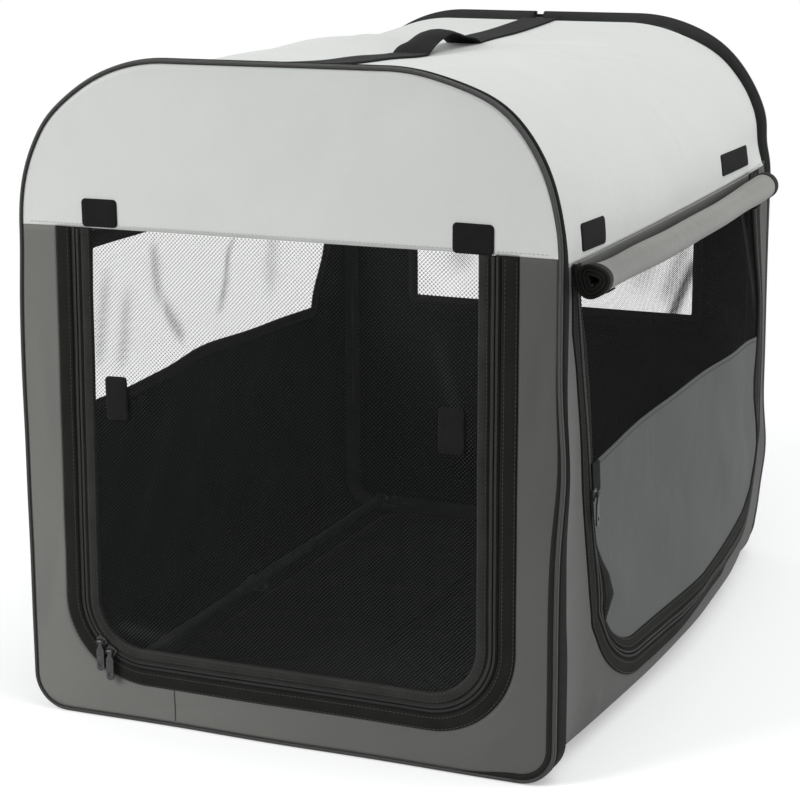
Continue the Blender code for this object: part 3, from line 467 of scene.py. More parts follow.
# A surface whose rows and columns of points are joined by four-sided faces.
def gridPiece(name, points, uv, body, ringRows=False, ringColumns=False):
    rows, columns = points.shape[:2]
    index = np.arange(rows * columns).reshape(rows, columns)
    if ringRows:
        index = np.concatenate([index, index[:1]])
    if ringColumns:
        index = np.concatenate([index, index[:, :1]], axis=1)
    quads = np.stack([index[:-1, :-1], index[1:, :-1], index[1:, 1:], index[:-1, 1:]], axis=-1).reshape(-1, 4)
    mesh = bpy.data.meshes.new(name)
    mesh.from_pydata(points.reshape(-1, 3).tolist(), [], quads.tolist())
    layer = mesh.uv_layers.new(name="UVMap")
    cornerVertex = np.empty(len(mesh.loops), np.int32)
    mesh.loops.foreach_get("vertex_index", cornerVertex)
    layer.data.foreach_set("uv", uv.reshape(-1, 2)[cornerVertex].astype(np.float32).ravel())
    mesh.shade_smooth()
    mesh.update()
    return newPiece(name, mesh, body)


# Turns an open sheet's faces over where they look against this direction.
def facing(piece, outward):
    mesh = piece.data
    normals = np.empty(len(mesh.polygons) * 3)
    areas = np.empty(len(mesh.polygons))
    mesh.polygons.foreach_get("normal", normals)
    mesh.polygons.foreach_get("area", areas)
    looks = (normals.reshape(-1, 3) * outward(piece)).sum(axis=1)
    if (looks * areas).sum() < 0:
        mesh.flip_normals()
    return piece


def toward(*direction):
    return lambda piece: np.array(direction)


# From a point towards each face; a 0 in axes leaves that axis out.
def awayFrom(middle, axes=(1, 1, 1)):
    def direction(piece):
        centres = np.empty(len(piece.data.polygons) * 3)
        piece.data.polygons.foreach_get("center", centres)
        return (centres.reshape(-1, 3) - np.array(middle)) * np.array(axes)
    return direction


# Gives a sheet its thickness inwards; the second material is its inner face.
def thicken(piece, thickness, inner=True):
    solid = piece.modifiers.new("cloth", "SOLIDIFY")
    solid.thickness = thickness
    solid.offset = -1.0
    solid.material_offset = 1 if inner else 0
    return piece


# Recalculates a closed piece's faces and turns them out by the sign of its volume.
def outwardSolid(piece):
    bm = bmesh.new()
    bm.from_mesh(piece.data)
    bmesh.ops.recalc_face_normals(bm, faces=bm.faces)
    if bm.calc_volume(signed=True) < 0:
        bmesh.ops.reverse_faces(bm, faces=bm.faces)
    bm.to_mesh(piece.data)
    bm.free()
    return piece


# Closes a piece made from a grid over its first and last rows, or over its first and last columns.
def capEnds(piece, points, overRows):
    index = np.arange(points.shape[0] * points.shape[1]).reshape(points.shape[:2])
    bm = bmesh.new()
    bm.from_mesh(piece.data)
    bm.verts.ensure_lookup_table()
    for ring in (index[[0, -1]] if overRows else index[:, [0, -1]].T):
        bm.faces.new([bm.verts[i] for i in ring])
    bm.to_mesh(piece.data)
    bm.free()
    return outwardSolid(piece)


# Distance run along a line of points, starting at 0.
def pathLength(line):
    steps = np.linalg.norm(np.diff(line, axis=0), axis=1)
    return np.concatenate([[0.0], np.cumsum(steps)])


# Values of a line's rows at these distances along it.
def atLengths(at, run, rows):
    return np.stack([np.interp(at, run, rows[:, k]) for k in range(3)], axis=-1)


def unit(rows):
    return rows / np.linalg.norm(rows, axis=1)[:, None]


# Outlines as arrays of a and b

def arcPoints(centre, radius, start, end, count):
    turn = np.radians(np.linspace(start, end, count))
    return stacked(centre[0] + radius * np.cos(turn), centre[1] + radius * np.sin(turn))


# Points from start to end, leaving out both ends.
def straight(start, end, count):
    share = np.linspace(0, 1, count + 2)[1:-1, None]
    return np.array(start) * (1 - share) + np.array(end) * share


# The closed outline of an end, this far inside its outermost line.
def hoopLine(inset, step=0.006):
    top, low = crate["topRadius"] - inset, crate["bottomRadius"] - inset
    high, near = crate["height"] - crate["topRadius"], crate["halfWidth"] - crate["bottomRadius"]
    far, edge = crate["halfWidth"] - crate["topRadius"], crate["halfWidth"] - inset
    up = int((high - crate["bottomRadius"]) / step)
    over, under = int(2 * far / step), int(2 * near / step)
    return np.concatenate([
        arcPoints((near, crate["bottomRadius"]), low, -90, 0, 12),
        straight((edge, crate["bottomRadius"]), (edge, high), up),
        arcPoints((far, high), top, 0, 90, 40),
        straight((far, high + top), (-far, high + top), over),
        arcPoints((-far, high), top, 90, 180, 40),
        straight((-edge, high), (-edge, crate["bottomRadius"]), up),
        arcPoints((-near, crate["bottomRadius"]), low, 180, 270, 12),
        straight((-near, inset), (near, inset), under),
    ])


# A U from its top left down, across and up again.
def uLine(half, low, radius, top, counts=(60, 22, 60)):
    side, bend, floor = counts
    middle = half - radius
    return np.concatenate([
        [(-half, top)], straight((-half, top), (-half, low + radius), side),
        arcPoints((-middle, low + radius), radius, 180, 270, bend),
        straight((-middle, low), (middle, low), floor),
        arcPoints((middle, low + radius), radius, 270, 360, bend),
        straight((half, low + radius), (half, top), side), [(half, top)],
    ])


# The left leg leans in a little towards the top
def openingLine(opening, inset, top, counts=(60, 22, 60)):
    line = uLine(opening["half"] - inset, opening["low"] + inset, opening["radius"] - inset, top, counts)
    leftLeg = smoothStep(-line[:, 0] / 0.2)
    line[:, 0] += opening["lean"] * leftLeg * np.clip((line[:, 1] - 0.10) / 0.35, 0, 1)
    return line


# A closed box with four corner radii, from the lower right corner round.
def boxLine(lowA, highA, lowB, highB, radii, counts=(60, 24, 8)):
    lowRight, highRight, highLeft, lowLeft = radii
    wide, tall, bend = counts
    return np.concatenate([
        arcPoints((highA - lowRight, lowB + lowRight), lowRight, -90, 0, bend),
        straight((highA, lowB + lowRight), (highA, highB - highRight), tall),
        arcPoints((highA - highRight, highB - highRight), highRight, 0, 90, bend),
        straight((highA - highRight, highB), (lowA + highLeft, highB), wide),
        arcPoints((lowA + highLeft, highB - highLeft), highLeft, 90, 180, bend),
        straight((lowA, highB - highLeft), (lowA, lowB + lowLeft), tall),
        arcPoints((lowA + lowLeft, lowB + lowLeft), lowLeft, 180, 270, bend),
        straight((lowA + lowLeft, lowB), (highA - lowRight, lowB), wide),
    ])


# Points from one line to the other, straight across.
def between(outer, inner, count):
    share = np.linspace(0, 1, count)[None, :, None]
    return outer[:, None, :] * (1 - share) + inner[:, None, :] * share


# A sheet of cloth over a grid of a and b, laid in its place; its UVs are the cloth's own metres.
def sheetPiece(name, ab, place, body, out, ring=False):
    piece = gridPiece(name, place(ab[..., 0], ab[..., 1], crate["fabricOut"]), ab, body, ringRows=ring)
    return facing(piece, out)


# A closed profile of inset and depth carried along an outline; v runs along the path and u across it.
def bandPiece(name, lineAt, profile, place, body, closedPath):
    profile = np.array(profile)
    points = np.array([place(*lineAt(inset).T, depth) for inset, depth in profile])
    u = pathLength(profile)
    v = pathLength(points.mean(axis=0))
    piece = gridPiece(name, points, stacked(u[:, None], v), body, ringRows=True, ringColumns=closedPath)
    return outwardSolid(piece) if closedPath else capEnds(piece, points, False)


# Angles round a full circle, without its end.
def wholeTurn(count):
    return np.linspace(0, 2 * math.pi, count, endpoint=False)


def circleProfile(inset, depth, radius, sides=20):
    turn = wholeTurn(sides)
    return stacked(inset + radius * np.cos(turn), depth + radius * np.sin(turn))


# Shader helpers

# Links a node's inputs from sockets, or sets them to values.
def setInputs(tree, node, inputs):
    for key, value in inputs.items():
        if isinstance(value, bpy.types.NodeSocket):
            tree.links.new(value, node.inputs[key])
        else:
            node.inputs[key].default_value = value


def addNode(tree, kind, inputs=None, **settings):
    node = tree.nodes.new(kind)
    for key, value in settings.items():
        setattr(node, key, value)
    setInputs(tree, node, inputs or {})
    return node


def mathNode(tree, operation, *values):
    return addNode(tree, "ShaderNodeMath", dict(enumerate(values)), operation=operation).outputs[0]


def noiseAt(tree, where, scale, detail, distortion=0.0):
    return addNode(tree, "ShaderNodeTexNoise", {
        "Vector": where, "Scale": scale, "Detail": detail, "Distortion": distortion}).outputs[0]


# A shader node group with named inputs (type, default) and outputs (type): the group, its given
# values, and the node that takes its results.
def newGroup(name, inputs, outputs):
    group = bpy.data.node_groups.new(name, "ShaderNodeTree")
    for label, (kind, value) in inputs.items():
        socket = group.interface.new_socket(name=label, in_out="INPUT", socket_type=f"NodeSocket{kind}")
        socket.default_value = value
    for label, kind in outputs.items():
        group.interface.new_socket(name=label, in_out="OUTPUT", socket_type=f"NodeSocket{kind}")
    return group, group.nodes.new("NodeGroupInput").outputs, group.nodes.new("NodeGroupOutput")


def uvAxes(tree):
    where = tree.nodes.new("ShaderNodeUVMap")
    where.uv_map = "UVMap"
    split = addNode(tree, "ShaderNodeSeparateXYZ", {0: where.outputs[0]})
    return where.outputs[0], split.outputs[0], split.outputs[1]


# A colour times a number.
def scaledColour(tree, colour, factor):
    node = addNode(tree, "ShaderNodeVectorMath", {0: colour, "Scale": factor}, operation="SCALE")
    return node.outputs[0]


# Plain weave: warp and weft threads take turns on top, over slubs and a soft mottle.
def makeWeaveGroup():
    group, given, out = newGroup("plainWeave", {
        "Colour": ("Color", (0.5, 0.5, 0.5, 1)), "Thread": ("Float", 0.0009), "Depth": ("Float", 0.18),
        "Mottle": ("Float", 0.06)}, {"Colour": "Color", "Height": "Float", "Roughness": "Float"})
    uv, u, v = uvAxes(group)
    along, across = mathNode(group, "DIVIDE", u, given["Thread"]), mathNode(group, "DIVIDE", v, given["Thread"])
    waveU = mathNode(group, "ABSOLUTE", mathNode(group, "SINE", mathNode(group, "MULTIPLY", along, math.pi)))
    waveV = mathNode(group, "ABSOLUTE", mathNode(group, "SINE", mathNode(group, "MULTIPLY", across, math.pi)))
    cells = mathNode(group, "ADD", mathNode(group, "FLOOR", along), mathNode(group, "FLOOR", across))
    turn = mathNode(group, "PINGPONG", cells, 1.0)
    crossing = addNode(group, "ShaderNodeMix", {"Factor": turn, "A": waveU, "B": waveV}, data_type="FLOAT").outputs[0]
    slubs, mottle = noiseAt(group, uv, 160.0, 3.0), noiseAt(group, uv, 9.0, 4.0)
    height = mathNode(group, "ADD", mathNode(group, "MULTIPLY", crossing, 0.7), mathNode(group, "MULTIPLY", slubs, 0.3))
    # Painted shade: the colour is darker where the threads and slubs dip, in the weave's hollows; the mottle is the
    # cloth's own uneven tone
    shade = mathNode(group, "MULTIPLY_ADD", mathNode(group, "SUBTRACT", height, 0.6), given["Depth"], 1.0)
    cloud = mathNode(group, "MULTIPLY_ADD", mathNode(group, "SUBTRACT", mottle, 0.5), given["Mottle"], 1.0)
    tint = scaledColour(group, given["Colour"], mathNode(group, "MULTIPLY", shade, cloud))
    roughness = mathNode(group, "MULTIPLY_ADD", mottle, 0.16, 0.70)
    setInputs(group, out, {"Colour": tint, "Height": height, "Roughness": roughness})
    return group


# Woven tape: slanted ribs that change direction across its width, with fine cross threads.
def makeTapeGroup():
    group, given, out = newGroup("tapeWeave", {
        "Colour": ("Color", (0.02, 0.02, 0.02, 1)), "Rib": ("Float", 0.0016), "Depth": ("Float", 0.5)},
        {"Colour": "Color", "Height": "Float"})
    uv, u, v = uvAxes(group)
    slant = mathNode(group, "PINGPONG", u, 0.0022)
    ribs = mathNode(group, "DIVIDE", mathNode(group, "ADD", v, slant), given["Rib"])
    wave = mathNode(group, "ABSOLUTE", mathNode(group, "SINE", mathNode(group, "MULTIPLY", ribs, math.pi)))
    fuzz, patchy = noiseAt(group, uv, 700.0, 2.0), noiseAt(group, uv, 30.0, 4.0)
    height = mathNode(group, "ADD", mathNode(group, "MULTIPLY", wave, 0.7), mathNode(group, "MULTIPLY", fuzz, 0.3))
    # Painted shade: the colour is darker in the ribs' hollows; the patches are the tape's own uneven tone
    lit = mathNode(group, "ADD", height, mathNode(group, "MULTIPLY", patchy, 0.8))
    shade = mathNode(group, "MULTIPLY_ADD", mathNode(group, "SUBTRACT", lit, 0.95), given["Depth"], 1.0)
    setInputs(group, out, {"Colour": scaledColour(group, given["Colour"], shade), "Height": height})
    return group


# Knitted net: rounded holes on a lattice turned by 45 degrees; the strands swell where they cross.
def makeNetGroup():
    group, given, out = newGroup("netHoles", {
        "Pitch": ("Float", 0.0024), "Hole": ("Float", 0.40), "Soft": ("Float", 0.05), "Crease": ("Float", 0.0)},
        {"Alpha": "Float", "Height": "Float"})
    u, v = uvAxes(group)[1:]
    diagonal = mathNode(group, "MULTIPLY", given["Pitch"], math.sqrt(2))
    roundness = 3.2
    cells = []
    for direction in ("ADD", "SUBTRACT"):
        axis = mathNode(group, "DIVIDE", mathNode(group, direction, u, v), diagonal)
        offset = mathNode(group, "SUBTRACT", mathNode(group, "FRACT", axis), 0.5)
        cells.append(mathNode(group, "POWER", mathNode(group, "ABSOLUTE", offset), roundness))
    reach = mathNode(group, "POWER", mathNode(group, "ADD", *cells), 1 / roundness)
    gathered = mathNode(group, "SUBTRACT", given["Hole"], mathNode(group, "MULTIPLY", given["Crease"], 0.36))
    edge = mathNode(group, "DIVIDE", mathNode(group, "SUBTRACT", reach, gathered), given["Soft"])
    alpha = addNode(group, "ShaderNodeClamp", {0: edge}).outputs[0]
    setInputs(group, out, {"Alpha": alpha, "Height": reach})
    return group


# Handling marks on hard pieces: rubbed spots and fine scratches from noise on the object's own metres.
def makeWearGroup():
    group, given, out = newGroup("handlingWear", {
        "Colour": ("Color", (0.1, 0.1, 0.1, 1)), "Worn": ("Color", (0.3, 0.3, 0.3, 1)), "Amount": ("Float", 0.3),
        "Scale": ("Float", 120.0)}, {"Colour": "Color", "Roughness": "Float", "Height": "Float"})
    where = group.nodes.new("ShaderNodeTexCoord").outputs["Object"]
    spots = noiseAt(group, where, given["Scale"], 5.0)
    fine = noiseAt(group, where, mathNode(group, "MULTIPLY", given["Scale"], 9.0), 2.0)
    mask = addNode(group, "ShaderNodeMapRange", {
        "Value": spots, "From Min": 0.52, "From Max": 0.74, "To Min": 0.0, "To Max": given["Amount"]}).outputs[0]
    mixed = addNode(group, "ShaderNodeMix", data_type="RGBA")
    setInputs(group, mixed, {"Factor": mask, "A": given["Colour"], "B": given["Worn"]})
    setInputs(group, out, {
        "Colour": mixed.outputs[2],
        "Roughness": mathNode(group, "MULTIPLY_ADD", fine, 0.25, 0.22),
        "Height": mathNode(group, "ADD", mathNode(group, "MULTIPLY", spots, 0.4), fine)})
    return group


weaveGroup, tapeGroup, netGroup, wearGroup = makeWeaveGroup(), makeTapeGroup(), makeNetGroup(), makeWearGroup()


def rgba(colour):
    return (*colour, 1.0)


def newMaterial(name):
    material = bpy.data.materials.new(name)
    material.use_nodes = True
    return material, material.node_tree, material.node_tree.nodes["Principled BSDF"]


def bumpInto(tree, shader, height, strength, distance):
    bump = addNode(tree, "ShaderNodeBump", {"Height": height, "Strength": strength, "Distance": distance})
    tree.links.new(bump.outputs[0], shader.inputs["Normal"])


def wovenMaterial(name, facts):
    material, tree, shader = newMaterial(name)
    cloth = addNode(tree, "ShaderNodeGroup", {
        "Colour": rgba(facts["colour"]), "Thread": facts["thread"], "Depth": facts["depth"],
        "Mottle": facts["mottle"]}, node_tree=weaveGroup)
    colour = cloth.outputs["Colour"]
    if "lean" in facts:
        # Painted light and shade: the cloth's colour is scaled lighter or darker across the panel, where the light
        # falls more or less on it
        where = tree.nodes.new("ShaderNodeTexCoord").outputs["UV" if facts["lean"].get("uv") else "Object"]
        across = addNode(tree, "ShaderNodeSeparateXYZ", {0: where}).outputs[facts["lean"]["axis"]]
        low, high = facts["lean"]["span"]
        level = addNode(tree, "ShaderNodeMapRange", {
            "Value": across, "From Min": low, "From Max": high,
            "To Min": facts["lean"]["paintedLightLevels"][0], "To Max": facts["lean"]["paintedLightLevels"][1]}).outputs[0]
        colour = scaledColour(tree, colour, level)
    # A broad soft crumple over the thread relief
    broad = noiseAt(tree, tree.nodes.new("ShaderNodeTexCoord").outputs["Object"], 7.0, 5.0, 0.6)
    threads = addNode(tree, "ShaderNodeBump", {
        "Height": cloth.outputs["Height"], "Strength": 0.35, "Distance": 0.0002})
    crumple = addNode(tree, "ShaderNodeBump", {
        "Height": broad, "Strength": facts["crumple"], "Distance": 0.02, "Normal": threads.outputs[0]})
    setInputs(tree, shader, {
        "Base Color": colour, "Roughness": cloth.outputs["Roughness"], "Sheen Weight": facts["sheen"],
        "Sheen Roughness": 0.5, "Specular IOR Level": 0.08, "Normal": crumple.outputs[0]})
    return material


def tapeMaterial(name, facts):
    material, tree, shader = newMaterial(name)
    tape = addNode(tree, "ShaderNodeGroup", {
        "Colour": rgba(facts["colour"]), "Rib": facts["rib"], "Depth": facts["depth"]}, node_tree=tapeGroup)
    setInputs(tree, shader, {
        "Base Color": tape.outputs["Colour"], "Roughness": facts["roughness"], "Sheen Weight": facts["sheen"],
        "Specular IOR Level": facts["gloss"]})
    bumpInto(tree, shader, tape.outputs["Height"], 0.6, 0.0004)
    return material


def netMaterial(name, facts):
    material, tree, shader = newMaterial(name)
    crease = addNode(tree, "ShaderNodeAttribute", attribute_name="crease").outputs["Fac"]
    net = addNode(tree, "ShaderNodeGroup", {
        "Pitch": facts["pitch"], "Hole": facts["hole"], "Soft": facts["soft"], "Crease": crease}, node_tree=netGroup)
    setInputs(tree, shader, {
        "Alpha": net.outputs["Alpha"], "Base Color": rgba(facts["colour"]), "Roughness": 0.6,
        "Specular IOR Level": 0.06, "Sheen Weight": facts["sheen"]})
    bumpInto(tree, shader, net.outputs["Height"], 0.5, 0.0005)
    return material


def hardMaterial(name, facts):
    material, tree, shader = newMaterial(name)
    wear = addNode(tree, "ShaderNodeGroup", {
        "Colour": rgba(facts["colour"]), "Worn": rgba(facts["worn"]), "Amount": facts["amount"],
        "Scale": facts["scale"]}, node_tree=wearGroup)
    roughness = mathNode(tree, "ADD", wear.outputs["Roughness"], facts["roughness"] - 0.3)
    setInputs(tree, shader, {
        "Base Color": wear.outputs["Colour"], "Roughness": roughness, "Metallic": facts.get("metallic", 0.0)})
    bumpInto(tree, shader, wear.outputs["Height"], 0.15, 0.0003)
    return material


paleCloth = wovenMaterial("paleCloth", {
    "colour": (0.606, 0.620, 0.599), "thread": 0.0008, "depth": 0.10, "mottle": 0.06, "sheen": 0.02, "crumple": 0.14})
darkCloth = wovenMaterial("darkCloth", {
    "colour": (0.094, 0.099, 0.097), "thread": 0.0008, "depth": 0.22, "mottle": 0.26, "sheen": 0.03, "crumple": 0.30})
# Painted highlight: the right wall's cloth is lighter near the front hoop, where it turns towards the light
wallCloth = wovenMaterial("wallCloth", {
    "colour": (0.094, 0.094, 0.091), "thread": 0.0008, "depth": 0.22, "mottle": 0.26, "sheen": 0.03, "crumple": 0.30,
    "lean": {"axis": 1, "span": (-0.385, -0.300), "paintedLightLevels": (1.45, 1.0)}})
# Painted light: the same dark cloth as the walls, given a lighter colour here, and lighter still on the left and darker
# on the right, as the light falls
frontDarkCloth = wovenMaterial("frontDarkCloth", {
    "colour": (0.120, 0.122, 0.113), "thread": 0.0008, "depth": 0.22, "mottle": 0.16, "sheen": 0.04, "crumple": 0.14,
    "lean": {"axis": 0, "span": (-0.27, 0.27), "paintedLightLevels": (1.30, 0.76)}})
# Painted light: the roll's cloth is given a lighter colour than the walls' dark cloth, standing in for light from
# above, and grows lighter towards the rear
coverCloth = wovenMaterial("coverCloth", {
    "colour": (0.205, 0.207, 0.190), "thread": 0.0008, "depth": 0.18, "mottle": 0.18, "sheen": 0.35, "crumple": 0.16,
    "lean": {"axis": 1, "span": (-0.34, 0.10), "paintedLightLevels": (0.85, 1.08)}})
# Painted shade: the flap's face darkens from the seam towards the roll, in the shade of the trough between them, and
# stays dark on the inner face beyond
coverInner = wovenMaterial("coverInner", {
    "colour": (0.122, 0.123, 0.115), "thread": 0.0008, "depth": 0.18, "mottle": 0.18, "sheen": 0.02, "crumple": 0.16,
    "lean": {"axis": 1, "span": (0.003, 0.014), "paintedLightLevels": (1.10, 0.20), "uv": True}})
innerCloth = wovenMaterial("innerCloth", {
    "colour": (0.008, 0.008, 0.009), "thread": 0.0010, "depth": 0.3, "mottle": 0.3, "sheen": 0.0, "crumple": 0.2})
matCloth = wovenMaterial("matCloth", {
    "colour": (0.012, 0.012, 0.013), "thread": 0.0012, "depth": 0.4, "mottle": 0.3, "sheen": 0.0, "crumple": 0.4})
bindingTape = tapeMaterial("bindingTape", {
    "colour": (0.012, 0.013, 0.011), "rib": 0.0011, "depth": 0.8, "roughness": 0.72, "sheen": 0.01, "gloss": 0.12})
edgeTape = tapeMaterial("edgeTape", {
    "colour": (0.006, 0.0065, 0.006), "rib": 0.0011, "depth": 0.8, "roughness": 0.80, "sheen": 0.0, "gloss": 0.08})
rearTape = tapeMaterial("rearTape", {
    "colour": (0.028, 0.029, 0.028), "rib": 0.0011, "depth": 0.8, "roughness": 0.80, "sheen": 0.0, "gloss": 0.08})
zipTape = tapeMaterial("zipTape", {
    "colour": (0.012, 0.013, 0.011), "rib": 0.0009, "depth": 1.0, "roughness": 0.80, "sheen": 0.01, "gloss": 0.06})
doorTape = tapeMaterial("doorTape", {
    "colour": (0.025, 0.026, 0.023), "rib": 0.0010, "depth": 1.4, "roughness": 0.80, "sheen": 0.01, "gloss": 0.06})
pipingTape = tapeMaterial("pipingTape", {
    "colour": (0.017, 0.018, 0.016), "rib": 0.0008, "depth": 0.5, "roughness": 0.45, "sheen": 0.01, "gloss": 0.40})
webbing = tapeMaterial("webbing", {
    "colour": (0.0075, 0.0075, 0.008), "rib": 0.0022, "depth": 0.9, "roughness": 0.70, "sheen": 0.0, "gloss": 0.08})
hookTape = tapeMaterial("hookTape", {
    "colour": (0.012, 0.012, 0.012), "rib": 0.0007, "depth": 1.0, "roughness": 0.92, "sheen": 0.03, "gloss": 0.06})
frontNet = netMaterial("frontNet", {
    "colour": (0.040, 0.042, 0.041), "pitch": 0.0027, "hole": 0.440, "soft": 0.06, "sheen": 0.02})
windowNet = netMaterial("windowNet", {
    "colour": (0.050, 0.053, 0.060), "pitch": 0.0019, "hole": 0.465, "soft": 0.05, "sheen": 0.0})
sideNet = netMaterial("sideNet", {
    "colour": (0.012, 0.012, 0.012), "pitch": 0.0024, "hole": 0.435, "soft": 0.06, "sheen": 0.0})
tubeMetal = hardMaterial("tubeMetal", {
    "colour": (0.010, 0.010, 0.011), "worn": (0.05, 0.05, 0.05), "amount": 0.30, "scale": 60.0, "roughness": 0.62})
rivetMetal = hardMaterial("rivetMetal", {
    "colour": (0.30, 0.30, 0.31), "worn": (0.45, 0.45, 0.45), "amount": 0.5, "scale": 300.0, "roughness": 0.34,
    "metallic": 1.0})
knucklePlastic = hardMaterial("knucklePlastic", {
    "colour": (0.014, 0.014, 0.015), "worn": (0.05, 0.05, 0.05), "amount": 0.4, "scale": 160.0, "roughness": 0.5})
zipMetal = hardMaterial("zipMetal", {
    "colour": (0.016, 0.016, 0.017), "worn": (0.12, 0.12, 0.12), "amount": 0.30, "scale": 260.0, "roughness": 0.42})
zipCoil = hardMaterial("zipCoil", {
    "colour": (0.012, 0.012, 0.012), "worn": (0.05, 0.05, 0.05), "amount": 0.3, "scale": 400.0, "roughness": 0.50})
threadDark = hardMaterial("threadDark", {
    "colour": (0.030, 0.030, 0.029), "worn": (0.07, 0.07, 0.07), "amount": 0.5, "scale": 900.0, "roughness": 0.8})
threadPale = hardMaterial("threadPale", {
    "colour": (0.46, 0.48, 0.46), "worn": (0.60, 0.62, 0.60), "amount": 0.5, "scale": 900.0, "roughness": 0.8})
print("materials made")


# Gives the piece its materials and hides the solids that it stands for.
def dress(piece, material, slot, *nodes, inner=None):
    piece.data.materials.append(material)
    if inner:
        piece.data.materials.append(inner)
    if nodes:
        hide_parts(*nodes)
    return piece


# Cloth with a dark inner face.
def finishCloth(piece, material, slot, node):
    return thicken(dress(piece, material, slot, node, inner=innerCloth), crate["cloth"])


# Reads a sheet's UVs, its own metres, at the corners of its faces.
def cutSheet(piece):
    mesh = piece.data
    corners = np.empty(len(mesh.loops) * 2, np.float32)
    mesh.uv_layers["UVMap"].data.foreach_get("uv", corners)
    corners = corners.reshape(-1, 4, 2).astype(float)


def gather(*pieces):
    for piece in pieces:
        if piece.modifiers:
            bakeModifiers(piece)
        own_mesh(piece)


# Applies a piece's modifiers, so that what follows moves the finished mesh.
def bakeModifiers(piece):
    graph = bpy.context.evaluated_depsgraph_get()
    mesh = bpy.data.meshes.new_from_object(piece.evaluated_get(graph), depsgraph=graph)
    piece.modifiers.clear()
    piece.data = mesh


# Marks where a net is gathered, so that its holes close up there.
def addCrease(piece, a, b, lines):
    level = np.clip(folds(a, b, lines), 0, 1).ravel()
    attribute = piece.data.attributes.new("crease", "FLOAT", "POINT")
    attribute.data.foreach_set("value", level.astype(np.float32))


# Stitches: short beads of thread along a line

stitchFacts = {"gap": 0.0011, "thick": 0.00042, "rings": (-0.5, -0.36, 0.0, 0.36, 0.5),
               "sizes": (0.25, 0.8, 1.0, 0.8, 0.25), "sides": 6}


# Each run is a line of points with outward directions; a stitch is a lozenge that dips at both ends.
def stitchPiece(name, body, runs, material, stitch=0.0030):
    gap, thick, sides = stitchFacts["gap"], stitchFacts["thick"], stitchFacts["sides"]
    ringX, ringSize = np.array(stitchFacts["rings"]), np.array(stitchFacts["sizes"])
    turn = wholeTurn(sides)
    each = len(ringX) * sides
    allPoints, allFaces, count = [], [], 0
    ring = np.arange(sides)
    after = (ring + 1) % sides
    side = np.concatenate([
        np.stack([low + ring, low + after, low + sides + after, low + sides + ring], axis=-1)
        for low in range(0, each - sides, sides)])
    for line, outward in runs:
        run = pathLength(line)
        centres = np.arange(stitch, run[-1] - stitch, stitch + gap)
        if not len(centres):
            continue
        middle = atLengths(centres, run, line)
        ahead = unit(atLengths(centres + 1e-3, run, line) - middle)
        up = unit(atLengths(centres, run, outward))
        across = np.cross(ahead, up)
        x = (ringX * stitch)[None, :, None, None] * ahead[:, None, None, :]
        c = (thick * np.cos(turn))[None, None, :, None] * across[:, None, None, :]
        s = (thick * np.sin(turn))[None, None, :, None] * up[:, None, None, :]
        dip = (thick * (ringSize - 1.0))[None, :, None, None] * up[:, None, None, :]
        points = middle[:, None, None, :] + x + dip + (c + s) * ringSize[None, :, None, None]
        allPoints.append(points.reshape(-1, 3))
        allFaces.append((side[None] + (np.arange(len(centres)) * each + count)[:, None, None]).reshape(-1, 4))
        count += len(centres) * each
    points, faces = np.concatenate(allPoints), np.concatenate(allFaces)
    starts = np.arange(0, len(points), each)[:, None]
    caps = np.concatenate([starts + ring[::-1], starts + each - sides + ring])
    mesh = bpy.data.meshes.new(name)
    mesh.from_pydata(points.tolist(), [], faces.tolist() + caps.tolist())
    mesh.shade_smooth()
    return dress(outwardSolid(newPiece(name, mesh, body)), material, "webbing")


# A run of stitches on a cloth's face: the points, and the outward directions there.
def seamRun(line, place, depth):
    outer = place(*line.T, depth)
    return outer, outer - place(*line.T, depth + 0.01)


print("building the ends")

# The two ends: pale top, dark lower panel, piping and its binding

endFacts = {
    "panelInset": 0.0040,
    "pipeRadius": 0.0023,
    "pipeInset": 0.0023,
    "pipeDepth": 0.0026,
    "flange": (0.0036, 0.0092),
    "sideBinding": {"front": 0.0130, "rear": 0.0114},
    "rearGap": (-0.0190, -0.0075),
}


def topPanel(name, place, body, out, node):
    inset, seam = endFacts["panelInset"], crate["frontSeam"]
    high, far = crate["height"] - crate["topRadius"], crate["halfWidth"] - crate["topRadius"]
    radius = crate["topRadius"] - inset
    start = math.degrees(math.asin((seam - high) / radius))
    outer = np.concatenate([
        arcPoints((far, high), radius, start, 90, 46), straight((far, high + radius), (-far, high + radius), 40),
        arcPoints((-far, high), radius, 90, 180 - start, 46)])
    edge = far + radius * math.cos(math.radians(start))
    seamLine = stacked(np.linspace(edge, -edge, len(outer)), seam)
    piece = sheetPiece(name, between(outer, seamLine, 30), place, body, out)
    return finishCloth(piece, paleCloth, "pale_fabric", node)


# The flat of the piping's tape shows inside the cord only low on the right side
def flangeLine(share):
    low, high = endFacts["flange"]
    outer, inner = hoopLine(low), hoopLine(high)
    weight = smoothStep((0.46 - outer[:, 1]) / 0.30) * smoothStep((outer[:, 0] - 0.18) / 0.06)
    return outer + (inner - outer) * (share * weight + 0.08 * share)[:, None]


# The rear end's outline, opened over a finger's width at the top
def openedHoop(inset):
    line = hoopLine(inset)
    low, high = endFacts["rearGap"]
    start = int(np.argmin(np.abs(line[:, 0] - low) + 10 * (line[:, 1] < 0.6)))
    line = np.roll(line, -start, axis=0)
    line = line[(line[:, 1] < 0.6) | (line[:, 0] <= low) | (line[:, 0] >= high)]
    line[0, 0], line[-1, 0] = low, high
    return line


